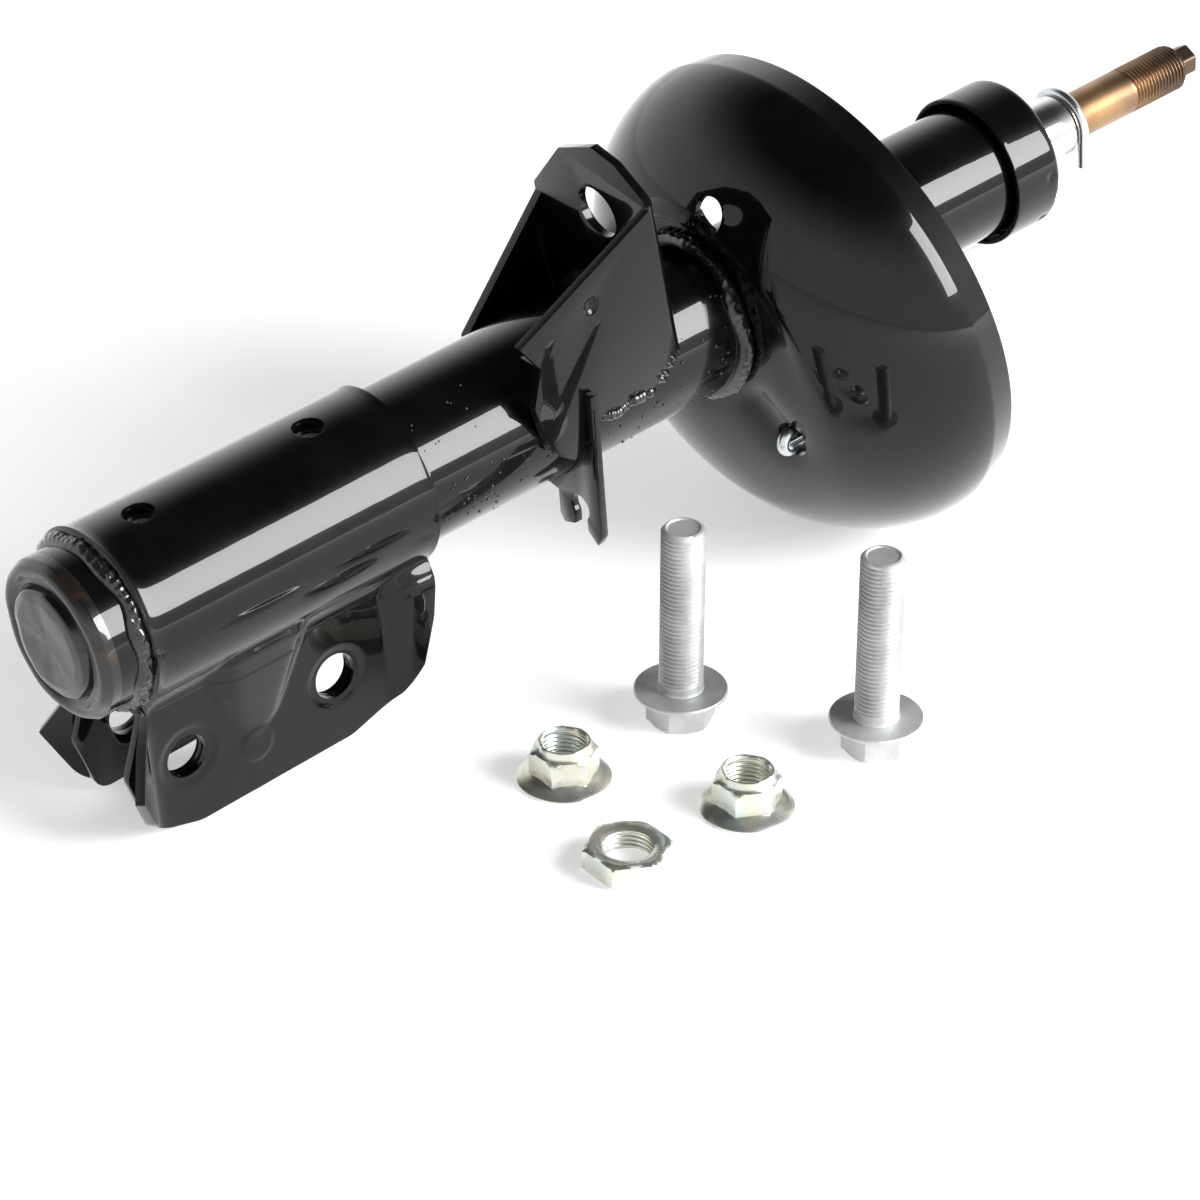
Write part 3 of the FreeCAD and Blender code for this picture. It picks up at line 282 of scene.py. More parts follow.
def tube_along(path, radius, sides):
    """Round run along a path: a ring at each point, turned from ring to ring without twist."""
    path = np.asarray(path, float)
    tangent = np.gradient(path, axis=0)
    tangent /= np.linalg.norm(tangent, axis=1)[:, None]
    normal = np.cross(tangent[0], [0.3, 0.5, 0.8])
    normal /= np.linalg.norm(normal)
    normals = [normal]
    for t in tangent[1:]:
        normal = normal - t * (normal @ t)
        normal = normal / np.linalg.norm(normal)
        normals.append(normal)
    normals = np.array(normals)
    sideways = np.cross(tangent, normals)
    angle = np.linspace(0, FULL_TURN, sides, endpoint=False)[None, :, None]
    size = np.broadcast_to(np.asarray(radius, float), (len(path),))[:, None, None]
    rings = path[:, None] + size * (np.cos(angle) * normals[:, None] + np.sin(angle) * sideways[:, None])
    first = np.broadcast_to(path[0], (1, sides, 3))
    last = np.broadcast_to(path[-1], (1, sides, 3))
    return laid(np.concatenate([first, rings, last]))


def bead_along(path, radius, seed, sides=18, rough=0.12, ripple=1.6):
    """Weld bead: a round run along a path whose radius swells in ripples and soft noise."""
    path = np.asarray(path, float)
    length = np.concatenate([[0], np.cumsum(np.linalg.norm(np.diff(path, axis=0), axis=1))])
    noise = rough * waves(seed, 9, length / length[-1] * FULL_TURN)
    swell = 1 + 0.05 * np.sin(length / ripple * FULL_TURN) + noise
    swell = np.clip(swell, 0.72, 1.3)
    ends = smooth_step(length / radius / 1.2) * smooth_step((length[-1] - length) / radius / 1.2)
    return tube_along(path, radius * swell * np.maximum(ends, 0.05), sides)


def unit_ball(rows, columns):
    """Points of a ball of radius 1, row by row from pole to pole."""
    u = np.linspace(0, math.pi, rows)[:, None]
    v = np.linspace(0, FULL_TURN, columns, endpoint=False)[None, :]
    return np.stack([np.sin(u) * np.cos(v), np.sin(u) * np.sin(v), np.cos(u) + 0 * v], -1)


def specks(name, centres, sizes, material):
    """Spatter: many small round lumps of few faces in one mesh."""
    ball = unit_ball(6, 8)
    grids = [(laid(np.array(c) + ball * s), False, True, 0) for c, s in zip(centres, sizes)]
    return make_piece(name, grids, [material], merge=1e-7, sharp=180)


# Materials

class Nodes:
    """Short way to add linked shader nodes to a tree."""

    def __init__(self, tree):
        self.tree = tree

    def add(self, kind, settings=None, **inputs):
        """New node: sockets by name with _ for a space, or i and a number; a linked socket or a value."""
        node = self.tree.nodes.new(kind)
        for key, value in (settings or {}).items():
            setattr(node, key, value)
        for key, value in inputs.items():
            numbered = key[0] == "i" and key[1:].isdigit()
            socket = node.inputs[int(key[1:]) if numbered else key.replace("_", " ")]
            if isinstance(value, bpy.types.NodeSocket):
                self.tree.links.new(value, socket)
            else:
                socket.default_value = value
        return node

    def maths(self, operation, *values):
        """Result of a maths node."""
        inputs = {"i%d" % k: value for k, value in enumerate(values)}
        return self.add("ShaderNodeMath", {"operation": operation}, **inputs).outputs[0]

    def mix(self, factor, a, b, blend="MIX"):
        """Colour mixed from two by a factor."""
        settings = {"data_type": "RGBA", "blend_type": blend}
        return self.add("ShaderNodeMix", settings, Factor=factor, A=a, B=b).outputs["Result"]

    def place(self):
        """Object coordinates."""
        return self.add("ShaderNodeTexCoord").outputs["Object"]


def ramp(node, stops):
    """Set the stops of a colour ramp to (place, grey or colour)."""
    elements = node.color_ramp.elements
    while len(elements) < len(stops):
        elements.new(0.5)
    for element, (place, colour) in zip(elements, stops):
        element.position = place
        element.color = (colour,) * 3 + (1,) if isinstance(colour, (int, float)) else tuple(colour) + (1,)


def surface_group():
    """Shared node group: soft waviness and fine grain as a height, and a mask of scattered dust specks."""
    group = bpy.data.node_groups.new("surface_detail", "ShaderNodeTree")
    face = group.interface
    for label, kind, default in (
            ("Wave Size", "NodeSocketFloat", 90.0), ("Grain Size", "NodeSocketFloat", 900.0),
            ("Grain Share", "NodeSocketFloat", 0.2), ("Speck Size", "NodeSocketFloat", 700.0),
            ("Speck Share", "NodeSocketFloat", 0.1)):
        socket = face.new_socket(name=label, in_out="INPUT", socket_type=kind)
        socket.default_value = default
    for label in ("Height", "Specks", "Mottle"):
        face.new_socket(name=label, in_out="OUTPUT", socket_type="NodeSocketFloat")
    n = Nodes(group)
    entry = n.add("NodeGroupInput")
    out = n.add("NodeGroupOutput")
    place = n.place()
    wave = n.add("ShaderNodeTexNoise", Vector=place, Scale=entry.outputs["Wave Size"], Detail=1.0)
    grain = n.add("ShaderNodeTexNoise", Vector=place, Scale=entry.outputs["Grain Size"], Detail=3.0)
    mottle = n.add("ShaderNodeTexNoise", Vector=place, Scale=45.0, Detail=5.0, Roughness=0.65)
    scaled = n.maths("MULTIPLY", grain.outputs["Fac"], entry.outputs["Grain Share"])
    height = n.maths("ADD", wave.outputs["Fac"], scaled)
    cells = n.add("ShaderNodeTexVoronoi", Vector=place, Scale=entry.outputs["Speck Size"])
    size = n.add("ShaderNodeSeparateColor", Color=cells.outputs["Color"])
    limit = n.maths("MULTIPLY", size.outputs[0], entry.outputs["Speck Share"])
    near = n.maths("LESS_THAN", cells.outputs["Distance"], limit)
    few = n.maths("GREATER_THAN", size.outputs[1], 0.8)
    group.links.new(height, out.inputs["Height"])
    group.links.new(n.maths("MULTIPLY", near, few), out.inputs["Specks"])
    group.links.new(mottle.outputs["Fac"], out.inputs["Mottle"])
    return group


def new_material(name, colour, rough, metallic=0.0, detail=None, bump=0.1, bump_distance=0.0002, **sockets):
    """Principled material whose colour, roughness and bump vary with the shared surface group."""
    material = bpy.data.materials.new(name)
    material.use_nodes = True
    tree = material.node_tree
    tree.nodes.clear()
    n = Nodes(tree)
    shader = n.add("ShaderNodeBsdfPrincipled")
    shader.inputs["Metallic"].default_value = metallic
    for key, value in sockets.items():
        shader.inputs[key.replace("_", " ")].default_value = value
    group = n.add("ShaderNodeGroup", {"node_tree": bpy.data.node_groups["surface_detail"]}, **(detail or {}))
    tint = n.add("ShaderNodeValToRGB", Fac=group.outputs["Mottle"])
    low, high = colour
    ramp(tint, [(0.35, low), (0.65, high)])
    rougher = n.add("ShaderNodeMapRange", Value=group.outputs["Mottle"], From_Min=0.3, From_Max=0.7,
                    To_Min=rough[0], To_Max=rough[1])
    relief = n.add("ShaderNodeBump", Strength=bump, Distance=bump_distance, Height=group.outputs["Height"])
    tree.links.new(tint.outputs["Color"], shader.inputs["Base Color"])
    tree.links.new(rougher.outputs[0], shader.inputs["Roughness"])
    tree.links.new(relief.outputs[0], shader.inputs["Normal"])
    n.add("ShaderNodeOutputMaterial", Surface=shader.outputs[0])
    return material, n, shader, group, tint, relief


def along_axis(n):
    """Distance in millimetres along the strut's axis, from Object coordinates."""
    dot = n.add("ShaderNodeVectorMath", {"operation": "DOT_PRODUCT"}, i0=n.place(), i1=AXIS_DIRECTION)
    return n.maths("MULTIPLY_ADD", dot.outputs["Value"], 1 / MM, HOLE[0])


def build_materials(sizes):
    """All finishes, by the record's slot names and a few more."""
    surface_group()
    made = {}
    paint = dict(Coat_Weight=1.0, Coat_Roughness=0.012, Coat_IOR=1.36, IOR=1.15)
    made[BLACK] = black = new_material(
        BLACK, (sizes.paint_dark, sizes.paint_light), (0.16, 0.26),
        detail={"Wave_Size": 85.0, "Grain_Size": 700.0, "Grain_Share": 0.05, "Speck_Size": 160.0,
                "Speck_Share": 0.10},
        bump=0.05, bump_distance=0.0006, **paint)[0]
    tree = black.node_tree
    shader = next(node for node in tree.nodes if node.type == "BSDF_PRINCIPLED")
    relief = next(node for node in tree.nodes if node.type == "BUMP")
    tree.links.new(relief.outputs[0], shader.inputs["Coat Normal"])
    made["weld_paint"] = new_material(
        "weld_paint", ((0.0015, 0.0015, 0.0016), (0.012, 0.011, 0.010)), (0.2, 0.45),
        detail={"Wave_Size": 420.0, "Grain_Size": 1700.0, "Grain_Share": 0.5},
        bump=0.4, bump_distance=0.0006, Coat_Weight=1.0, Coat_Roughness=0.05, Coat_IOR=1.55, IOR=1.25)[0]
    rusty, n, shader, group, tint, relief = new_material(
        "cap_paint", ((0.002, 0.002, 0.0022), (0.010, 0.009, 0.008)), (0.14, 0.34),
        detail={"Wave_Size": 260.0, "Grain_Size": 1200.0, "Grain_Share": 0.3},
        bump=0.2, bump_distance=0.0005, Coat_Weight=1.0, Coat_Roughness=0.04, Coat_IOR=1.5, IOR=1.25)
    stain = n.add("ShaderNodeTexNoise", Vector=n.place(), Scale=95.0, Detail=6.0, Roughness=0.7)
    mask = n.add("ShaderNodeValToRGB", Fac=stain.outputs["Fac"])
    ramp(mask, [(0.55, 0.0), (0.72, 1.0)])
    rust = n.mix(mask.outputs["Color"], tint.outputs["Color"], (0.045, 0.02, 0.011, 1))
    rusty.node_tree.links.new(rust, shader.inputs["Base Color"])
    made["cap_paint"] = rusty

    for name, colour, rough, metallic in (
            ("raw_steel", ((0.32, 0.32, 0.33), (0.46, 0.46, 0.47)), (0.28, 0.42), 1.0),
            ("bearing_bronze", ((0.5, 0.33, 0.16), (0.66, 0.47, 0.26)), (0.25, 0.4), 1.0),
            ("seal_rubber", ((0.012, 0.012, 0.012), (0.03, 0.03, 0.03)), (0.55, 0.7), 0.0),
            ("band_plastic", ((0.22, 0.14, 0.09), (0.36, 0.25, 0.17)), (0.45, 0.6), 0.0)):
        made[name] = new_material(name, colour, rough, metallic)[0]
    made["sintered_iron"] = new_material(
        "sintered_iron", ((0.16, 0.16, 0.17), (0.28, 0.28, 0.28)), (0.45, 0.6), 1.0,
        detail={"Grain_Size": 2600.0, "Grain_Share": 0.9}, bump=0.3)[0]

    chrome, n, shader, group, tint, relief = new_material(
        "chrome_rod", ((0.72, 0.73, 0.75), (0.84, 0.85, 0.87)), (0.03, 0.08), 1.0,
        detail={"Wave_Size": 60.0, "Grain_Size": 1500.0, "Grain_Share": 0.1}, bump=0.02)
    place = along_axis(n)
    heat = n.add("ShaderNodeMapRange", Value=place, From_Min=sizes.shoulder_x - 1.6,
                 From_Max=sizes.shoulder_x + 0.4)
    blotch = n.maths("SUBTRACT", group.outputs["Mottle"], 0.5)
    stretch = n.add("ShaderNodeMapRange", Value=place, From_Min=sizes.shoulder_x, From_Max=sizes.tip_x)
    oxide = n.add("ShaderNodeValToRGB", Fac=n.maths("ADD", stretch.outputs[0], blotch))
    ramp(oxide, [(0.0, (0.30, 0.17, 0.085)), (0.25, (0.42, 0.26, 0.13)), (0.5, (0.27, 0.17, 0.10)),
                 (0.8, (0.13, 0.085, 0.06))])
    tinted = n.mix(heat.outputs[0], tint.outputs["Color"], oxide.outputs["Color"])
    chrome.node_tree.links.new(tinted, shader.inputs["Base Color"])
    duller = n.add("ShaderNodeMapRange", Value=heat.outputs[0], To_Min=0.05, To_Max=0.34)
    chrome.node_tree.links.new(duller.outputs[0], shader.inputs["Roughness"])
    made["chrome_rod"] = chrome

    made["zinc_matt"] = new_material(
        "zinc_matt", ((0.48, 0.49, 0.49), (0.66, 0.67, 0.67)), (0.42, 0.58), 0.7,
        detail={"Wave_Size": 300.0, "Grain_Size": 2400.0, "Grain_Share": 1.2},
        bump=0.3, bump_distance=0.0003)[0]
    zinc, n, shader, group, tint, relief = new_material(
        "zinc_bright", ((0.66, 0.67, 0.64), (0.84, 0.85, 0.84)), (0.22, 0.36), 0.9,
        detail={"Wave_Size": 130.0, "Grain_Size": 1800.0, "Grain_Share": 0.25},
        bump=0.12, bump_distance=0.0004)
    film = n.add("ShaderNodeTexNoise", Vector=n.place(), Scale=55.0, Detail=3.0)
    tone = n.add("ShaderNodeValToRGB", Fac=film.outputs["Fac"])
    ramp(tone, [(0.38, (1.0, 1.0, 1.0)), (0.5, (1.0, 0.96, 0.82)), (0.62, (0.90, 0.97, 0.95))])
    toned = n.mix(1.0, tint.outputs["Color"], tone.outputs["Color"], "MULTIPLY")
    zinc.node_tree.links.new(toned, shader.inputs["Base Color"])
    made["zinc_bright"] = zinc
    made["wire_steel"] = new_material(
        "wire_steel", ((0.52, 0.55, 0.57), (0.72, 0.75, 0.77)), (0.16, 0.28), 1.0,
        detail={"Wave_Size": 200.0, "Grain_Size": 2000.0, "Grain_Share": 0.4}, bump=0.12)[0]
    return made


MATERIALS = {}


def place_piece(piece, body, slot, *nodes):
    """Let a piece ride on a body and stand for CAD nodes, which it hides. The slot is not used."""
    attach(piece, body)
    if nodes:
        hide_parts(*nodes)


class StrutSizes(bpy.types.PropertyGroup):
    """Sizes and colours that a user would change."""
    paint_dark: bpy.props.FloatVectorProperty(
        name="Paint, dark", description="Darker tone of the black enamel", subtype="COLOR",
        default=(0.0012, 0.0012, 0.0014))
    paint_light: bpy.props.FloatVectorProperty(
        name="Paint, light", description="Lighter tone of the black enamel", subtype="COLOR",
        default=(0.0028, 0.0028, 0.003))
    shoulder_x: bpy.props.FloatProperty(
        name="Rod shoulder", description="Place along the axis in millimetres where the chrome ends",
        default=104.5)
    tip_x: bpy.props.FloatProperty(
        name="Rod tip", description="Place of the rod's tip along the axis in millimetres", default=167.5)
    rod_thread: bpy.props.FloatProperty(
        name="Rod thread pitch", description="Pitch of the rod's thread in millimetres", default=1.5, min=0.2)
    bolt_thread: bpy.props.FloatProperty(
        name="Bolt thread pitch", description="Pitch of the bolts' thread in millimetres", default=1.5,
        min=0.2)
    edge_round: bpy.props.FloatProperty(
        name="Edge rounding", description="Rounding of sheet edges in millimetres", default=0.5, min=0.0)
    bead_wobble: bpy.props.FloatProperty(
        name="Bead wobble", description="Unevenness of the weld beads in millimetres", default=0.55, min=0.0)
    lens: bpy.props.FloatProperty(
        name="Lens", description="Focal length of the camera", default=138.3, unit="CAMERA")


def look():
    """The scene's sizes and colours."""
    return bpy.context.scene.strut_sizes


def finish(name):
    """A finish by its name; the first call builds them all."""
    if not MATERIALS:
        MATERIALS.update(build_materials(look()))
    return MATERIALS[name]


# Pieces

class STRUT_OT_body_tube(bpy.types.Operator):
    """Outer tube: a turned wall that narrows past the seat and rolls in at its end"""
    bl_idname = "strut.body_tube"
    bl_label = "Body Tube"

    def execute(self, context):
        profile = refine(round_corners(
            [(TUBE_START, TUBE_BORE), (TUBE_START, TUBE), (-53, TUBE), (-46, 22.35), (78, 22.35), (78, 17),
             (76.4, 17), (76.4, 20.15), (-46, 20.15), (-53, TUBE_BORE)],
            [0, 6, 6, 2.0, 0.4, 0, 0, 4, 4]), 2.5)
        piece = make_piece("body_tube_wall", [(turned(profile, 192), True, True, 0)], [finish(BLACK)])
        place_piece(piece, "housing", BLACK, "body_tube")
        return {"FINISHED"}


class STRUT_OT_end_cap(bpy.types.Operator):
    """End cap: pressed rim, sunken groove and raised disc with a soft uneven surface"""
    bl_idname = "strut.end_cap"
    bl_label = "End Cap"

    def execute(self, context):
        profile = refine(round_corners(
            [(-295, 0), (-295, 23.77), (TUBE_START, 23.77), (TUBE_START, TUBE), (-303.2, TUBE), (-306, 24.2),
             (-306, 22), (-303.7, 20.2), (-304.1, 18.4), (-307.4, 17.4), (CAP_FACE, 14), (-307.6, 6),
             (-307.5, 0)],
            [0.3, 0, 0, 1.6, 2.0, 1.6, 1.2, 1.2, 1.6, 3, 6], 6), 1.0)

        def wobble(x, angle):
            outside = smooth_step((-300.5 - x) / 3)
            return outside * (0.16 * waves(3, 6, angle) + 0.10 * waves(4, 16, angle))

        angle = np.linspace(0, FULL_TURN, 160, endpoint=False)[None, :]
        x = profile[:, :1] + 0 * angle
        radius = profile[:, 1:] + 0 * angle
        radius = np.where(radius > 1e-6, np.minimum(radius + wobble(x, angle), 26.1), radius)
        face = smooth_step((-303 - x) / 2)
        x = x + 0.16 * face * waves(5, 4, angle) * smooth_step(radius / 9)
        x = x + 0.10 * face * waves(8, 9, angle) * smooth_step(radius / 14)
        x = np.maximum(x, CAP_FACE)
        points = laid(np.stack([x, radius * np.cos(angle), radius * np.sin(angle)], -1))
        piece = make_piece("end_cap_dome", [(points, False, True, 0)], [finish("cap_paint")])
        place_piece(piece, "housing", BLACK, "end_cap")
        return {"FINISHED"}


def sleeve_section(count):
    """Outer line of the sleeve from its top to the ear's start, as (y, z): circle, then a hollow fillet."""
    middle = EAR_SIDE + EAR_FILLET
    centre = np.array([middle, -math.sqrt((TUBE_SLEEVE + EAR_FILLET) ** 2 - middle ** 2)])
    turn = math.atan2(centre[1], centre[0])
    round_share = int(count * 0.8)
    a = np.linspace(math.pi / 2, turn, round_share)
    arc = np.stack([TUBE_SLEEVE * np.cos(a), TUBE_SLEEVE * np.sin(a)], -1)
    b = np.linspace(turn + math.pi, math.pi, count - round_share + 1)[1:]
    hollow = centre + EAR_FILLET * np.stack([np.cos(b), np.sin(b)], -1)
    return np.concatenate([arc, hollow])


def by_length(points, count):
    """Points spaced evenly by length along a line."""
    length = np.concatenate([[0], np.cumsum(np.linalg.norm(np.diff(points, axis=0), axis=1))])
    wanted = np.linspace(0, length[-1], count)
    return np.stack([np.interp(wanted, length, points[:, k]) for k in range(points.shape[1])], -1)


def ear_relief(x, z):
    """How far the ear stands out from its flat side: flared ends, a gusset down between the holes, pads."""
    deep = smooth_step((-22.0 - z) / 12.0)
    left = smooth_max((-290.5 - x) / 9.0, 0 * x, 0.25) * 9.0 * deep
    right = smooth_max((x + 201.0) / 3.5, 0 * x, 0.5)
    right = 6.0 * (1 - np.exp(-right * 0.8)) * smooth_step((-14.0 - z) / 16.0)
    slope = np.clip((z + 54.0) / 42.0, 0, 1.2) * 8.6
    left_side = (x - np.interp(-z, [20, 34, 52], [-270.0, -265.0, -257.0])) * 0.75
    right_side = (np.interp(-z, [20, 23.4, 47.8, 54], [-226.0, -229.0, -243.0, -250.0]) - x) * 0.8
    gusset = smooth_min(smooth_min(slope, left_side, 1.6), right_side, 1.6)
    gusset = smooth_max(gusset, 0 * x, 1.0) - 0.25
    pads = 0.0
    for hole_x in (HOLE[0], UPPER_HOLE_X):
        away = np.hypot(x - hole_x, z - HOLE[2])
        pads = pads - 0.55 * smooth_step((11.5 - away) / 3.0)
    mark = np.hypot(x + 252.3, z + 56.5)
    pads = pads + 0.35 * smooth_step((6.5 - mark) / 1.5)
    return left + right + np.maximum(gusset, 0) + pads


class STRUT_OT_knuckle_bracket(bpy.types.Operator):
    """Knuckle bracket: one sheet wrapped over the tube and down into two formed ears, with its holes"""
    bl_idname = "strut.knuckle_bracket"
    bl_label = "Knuckle Bracket"

    def execute(self, context):
        columns, ear_rows, sleeve_rows = 150, 84, 66
        section = sleeve_section(sleeve_rows)
        share = np.linspace(0, 1, columns)
        start, end = SLEEVE_START, SLEEVE_END
        x = start + (end - start) * share[None, :] + 0 * section[:, :1]
        lip = np.exp(-(share[None, :] * (end - start)) / 1.8) * 0.9
        lip_right = np.exp(-((1 - share[None, :]) * (end - start)) / 1.6) * 0.35
        stretch = 1 + (lip + lip_right) / TUBE_SLEEVE
        sleeve = np.stack([x, section[:, :1] * stretch, section[:, 1:] * stretch], -1)
        low = section[-1, 1]
        left = by_length(round_corners([(start, low), (-290.6, -33.0), (-299.4, -49.0)], [12]), ear_rows)
        right = by_length(round_corners([(end, low), (-186.5, -40.0), (-191.5, -56.0)], [16]), ear_rows)
        corners = [(-299.4, -49.0), (-291.3, -68.1), (-275.2, -73.0), (-217.5, -72.0), (-200.5, -66.5),
                   (-191.5, -56.0)]
        foot = by_length(round_corners(corners, [14, 14, 14, 12], 12), columns)
        top = np.stack([x[-1], np.full(columns, low)], -1)
        u = share[None, :, None]
        v = np.linspace(0, 1, ear_rows)[:, None, None]
        flat = (1 - v) * top[None] + v * foot[None] + (1 - u) * left[:, None] + u * right[:, None]
        flat = flat - ((1 - u) * (1 - v) * top[0] + u * (1 - v) * top[-1]
                       + (1 - u) * v * foot[0] + u * v * foot[-1])
        ear_x, ear_z = flat[1:, :, 0], flat[1:, :, 1]
        rise = ear_relief(ear_x, ear_z)
        join = ear_relief(x, sleeve[..., 2]) * smooth_step((-sleeve[..., 2] - 6) / 14.0)
        low_part = sleeve[..., 2] < -6
        widened = smooth_max(sleeve[..., 1], EAR_SIDE + join - 0.2, 0.6)
        sleeve[..., 1] = np.where(low_part, widened, sleeve[..., 1])
        ear = np.stack([ear_x, EAR_SIDE + rise, ear_z], -1)
        half = np.concatenate([sleeve, ear])
        other = half[::-1].copy()
        other[..., 1] *= -1
        sheet = np.concatenate([other[:-1], half])
        sheet = np.clip(sheet, [-302.4, -29.6, -80], [-180, 29.6, 40])
        piece = make_piece("knuckle_sheet", [(laid(sheet), False, False, 0)], [finish(BLACK)])
        thicken(piece, outward_facing(piece))
        lower, upper = HOLE, (UPPER_HOLE_X, 0, HOLE[2])
        cutters = [cylinder_cutter("cut_lower", lower, (0, 1, 0), HOLE_RADIUS, 90),
                   cylinder_cutter("cut_upper", upper, (0, 1, 0), HOLE_RADIUS, 90, 0.6)]
        for hole_x in PLUG_HOLES_X:
            cutters.append(cylinder_cutter(
                "cut_plug", (hole_x, 0, TUBE_SLEEVE), (0, 0, 1), PLUG_HOLE_RADIUS, 20, 0.0, (1, 0, 0)))
        cut_away(piece, cutters)
        soften(piece, look().edge_round)
        place_piece(piece, "housing", BLACK, "knuckle_bracket")
        return {"FINISHED"}


def thicken(piece, outward):
    """Give an open sheet its wall, inwards from the side that the photograph shows."""
    wall = piece.modifiers.new("wall", "SOLIDIFY")
    wall.thickness = SHEET * MM
    wall.offset = -1.0 if outward else 1.0
    wall.use_even_offset = True
    bake(piece)


def face_values(mesh, key, width):
    """One value of each face of a mesh as an array."""
    values = np.zeros(len(mesh.polygons) * width)
    mesh.polygons.foreach_get(key, values)
    return values.reshape(-1, width)


def outward_facing(piece):
    """Whether most of an open sheet's faces look away from the strut's axis."""
    middle = laid([(-240.0, 0.0, 0.0)])[0]
    away = (face_values(piece.data, "center", 3) - middle) * [0, 1, 1]
    return float((face_values(piece.data, "normal", 3) * away).sum()) > 0


def ring_bead(x, width, rise, seed, wobble):
    """Grid of a closed weld round the tube: a half-round section with ripples and noise round the axis."""
    angle = np.linspace(0, FULL_TURN, 420, endpoint=False)[None, :]
    turn = np.linspace(0, math.pi, 14)[:, None]
    phase = angle * 58 + 1.5 * np.cos(turn) + 2.5 * waves(seed + 2, 7, angle)
    lumps = waves(seed, 16, angle) + 0.5 * waves(seed + 4, 40, angle, turn)
    swell = 0.88 + (0.05 * np.sin(phase) + wobble / rise * lumps) * np.sin(turn)
    out = width * (1 - np.cos(turn)) / 2 * (1 + 0.12 * waves(seed + 1, 9, angle))
    height = rise * np.sin(turn) * np.clip(swell, 0.3, 1.25)
    radius = TUBE - 0.4 + np.clip(height, 0, rise + 0.3)
    points = np.stack([x - out, radius * np.cos(angle), radius * np.sin(angle)], -1)
    return (laid(points), True, True, 0)


class STRUT_OT_welds(bpy.types.Operator):
    """Weld beads round the sleeve's end and the seat's neck, and along the link bracket's feet"""
    bl_idname = "strut.welds"
    bl_label = "Welds"

    def execute(self, context):
        wobble = look().bead_wobble
        paint = finish("weld_paint")
        for name, node, ring in (
                ("sleeve_bead", "sleeve_weld", ring_bead(SLEEVE_START + 0.9, 6.0, 3.2, 11, wobble)),
                ("seat_bead", "seat_weld", ring_bead(seat_back() + 0.8, 5.4, 3.6, 23, wobble))):
            place_piece(make_piece(name, [ring], [paint], sharp=60), "housing", BLACK, node)
        t = np.linspace(0, 1, 90)[:, None]
        line = np.array([-121.0, -28.0, 2.2]) + t * np.array([24.0, 0.0, 1.2])
        line = line + np.stack([0 * t[:, 0], 0.4 * np.sin(t[:, 0] * 17), 0.5 * np.sin(t[:, 0] * 11 + 1)], -1)
        corner = np.array([-97.5, -27.6, 3.4]) + t * np.array([11.5, 1.8, 12.0])
        grids = [(bead_along(line, 1.9, 31), False, True, 0), (bead_along(corner, 2.5, 32), False, True, 0)]
        lobe = np.array([-136.5, -27.6, -3.6]) + t * np.array([9.0, 0.6, 1.0])
        grids.append((bead_along(lobe, 1.5, 33), False, True, 0))
        far = np.array([-127.0, 27.2, -2.0]) + t * np.array([38.0, 0.0, 3.0])
        grids.append((bead_along(far, 2.2, 34), False, True, 0))
        a = np.linspace(0.35, 2.75, 120)
        over = np.stack([-90.5 + 0 * a, 27.0 * np.cos(a), 27.0 * np.sin(a)], -1)
        grids.append((bead_along(over, 2.0, 35), False, True, 0))
        beads = make_piece("link_beads", grids, [paint], sharp=60)
        place_piece(beads, "housing", BLACK)
        draw = np.random.default_rng(7)
        centres, sizes = [], []
        for count, x_range, angles in (
                (70, (-150, -64), (2.6, 3.9)), (26, (-184, -150), (1.9, 3.6)),
                (46, (-66, -58), (0.0, 6.283)), (18, (-184, -150), (2.9, 3.9))):
            a = draw.uniform(*angles, count)
            x = draw.uniform(*x_range, count)
            centres += list(np.stack([x, TUBE * np.cos(a), TUBE * np.sin(a)], -1))
            sizes += list(draw.uniform(0.22, 0.62, count))
        dots = specks("spatter", centres, sizes, finish("weld_paint"))
        place_piece(dots, "housing", BLACK)
        return {"FINISHED"}


class STRUT_OT_link_bracket(bpy.types.Operator):
    """Stabiliser link bracket with rounded sheet edges and a small pressed dimple"""
    bl_idname = "strut.link_bracket"
    bl_label = "Link Bracket"

    def execute(self, context):
        piece = copy_of("link_bracket", "link_sheet", BLACK)
        ball = 4.2 * unit_ball(13, 32) + np.array([-121.0, -31.6, 44.0])
        dimple = make_piece("cut_dimple", [(laid(ball), False, True, 0)], [])
        cut_away(piece, [dimple])
        soften(piece, 0.8, 3)
        place_piece(piece, "housing", BLACK, "link_bracket")
        return {"FINISHED"}


class STRUT_OT_hose_bracket(bpy.types.Operator):
    """Brake hose bracket with rounded sheet edges"""
    bl_idname = "strut.hose_bracket"
    bl_label = "Hose Bracket"

    def execute(self, context):
        piece = copy_of("hose_bracket", "hose_plate", BLACK)
        soften(piece, 0.45)
        place_piece(piece, "housing", BLACK, "hose_bracket")
        return {"FINISHED"}


class STRUT_OT_inner_bracket(bpy.types.Operator):
    """Inner bracket between the ears with rounded sheet edges"""
    bl_idname = "strut.inner_bracket"
    bl_label = "Inner Bracket"

    def execute(self, context):
        piece = copy_of("inner_bracket", "inner_sheet", BLACK)
        soften(piece, 0.4)
        place_piece(piece, "housing", BLACK, "inner_bracket")
        return {"FINISHED"}


SEAT = dict(rim=82.6, centre_y=-1.2, centre_z=-11.6, tilt=math.radians(9.5), lip=9.7, bulge=2.0, bowl=48.0,
            flat=82.6 * 0.41, power=1.09)
LOW_DRAIN = 221.0
DRAINS = ((104.0, 7.0), (LOW_DRAIN, 17.0), (342.0, 7.0))
DRAIN_RADIUS = 6.0


def seat_back():
    """Place along the axis of the pan's flat back."""
    return -(SEAT["lip"] + SEAT["bowl"]) * math.cos(SEAT["tilt"])


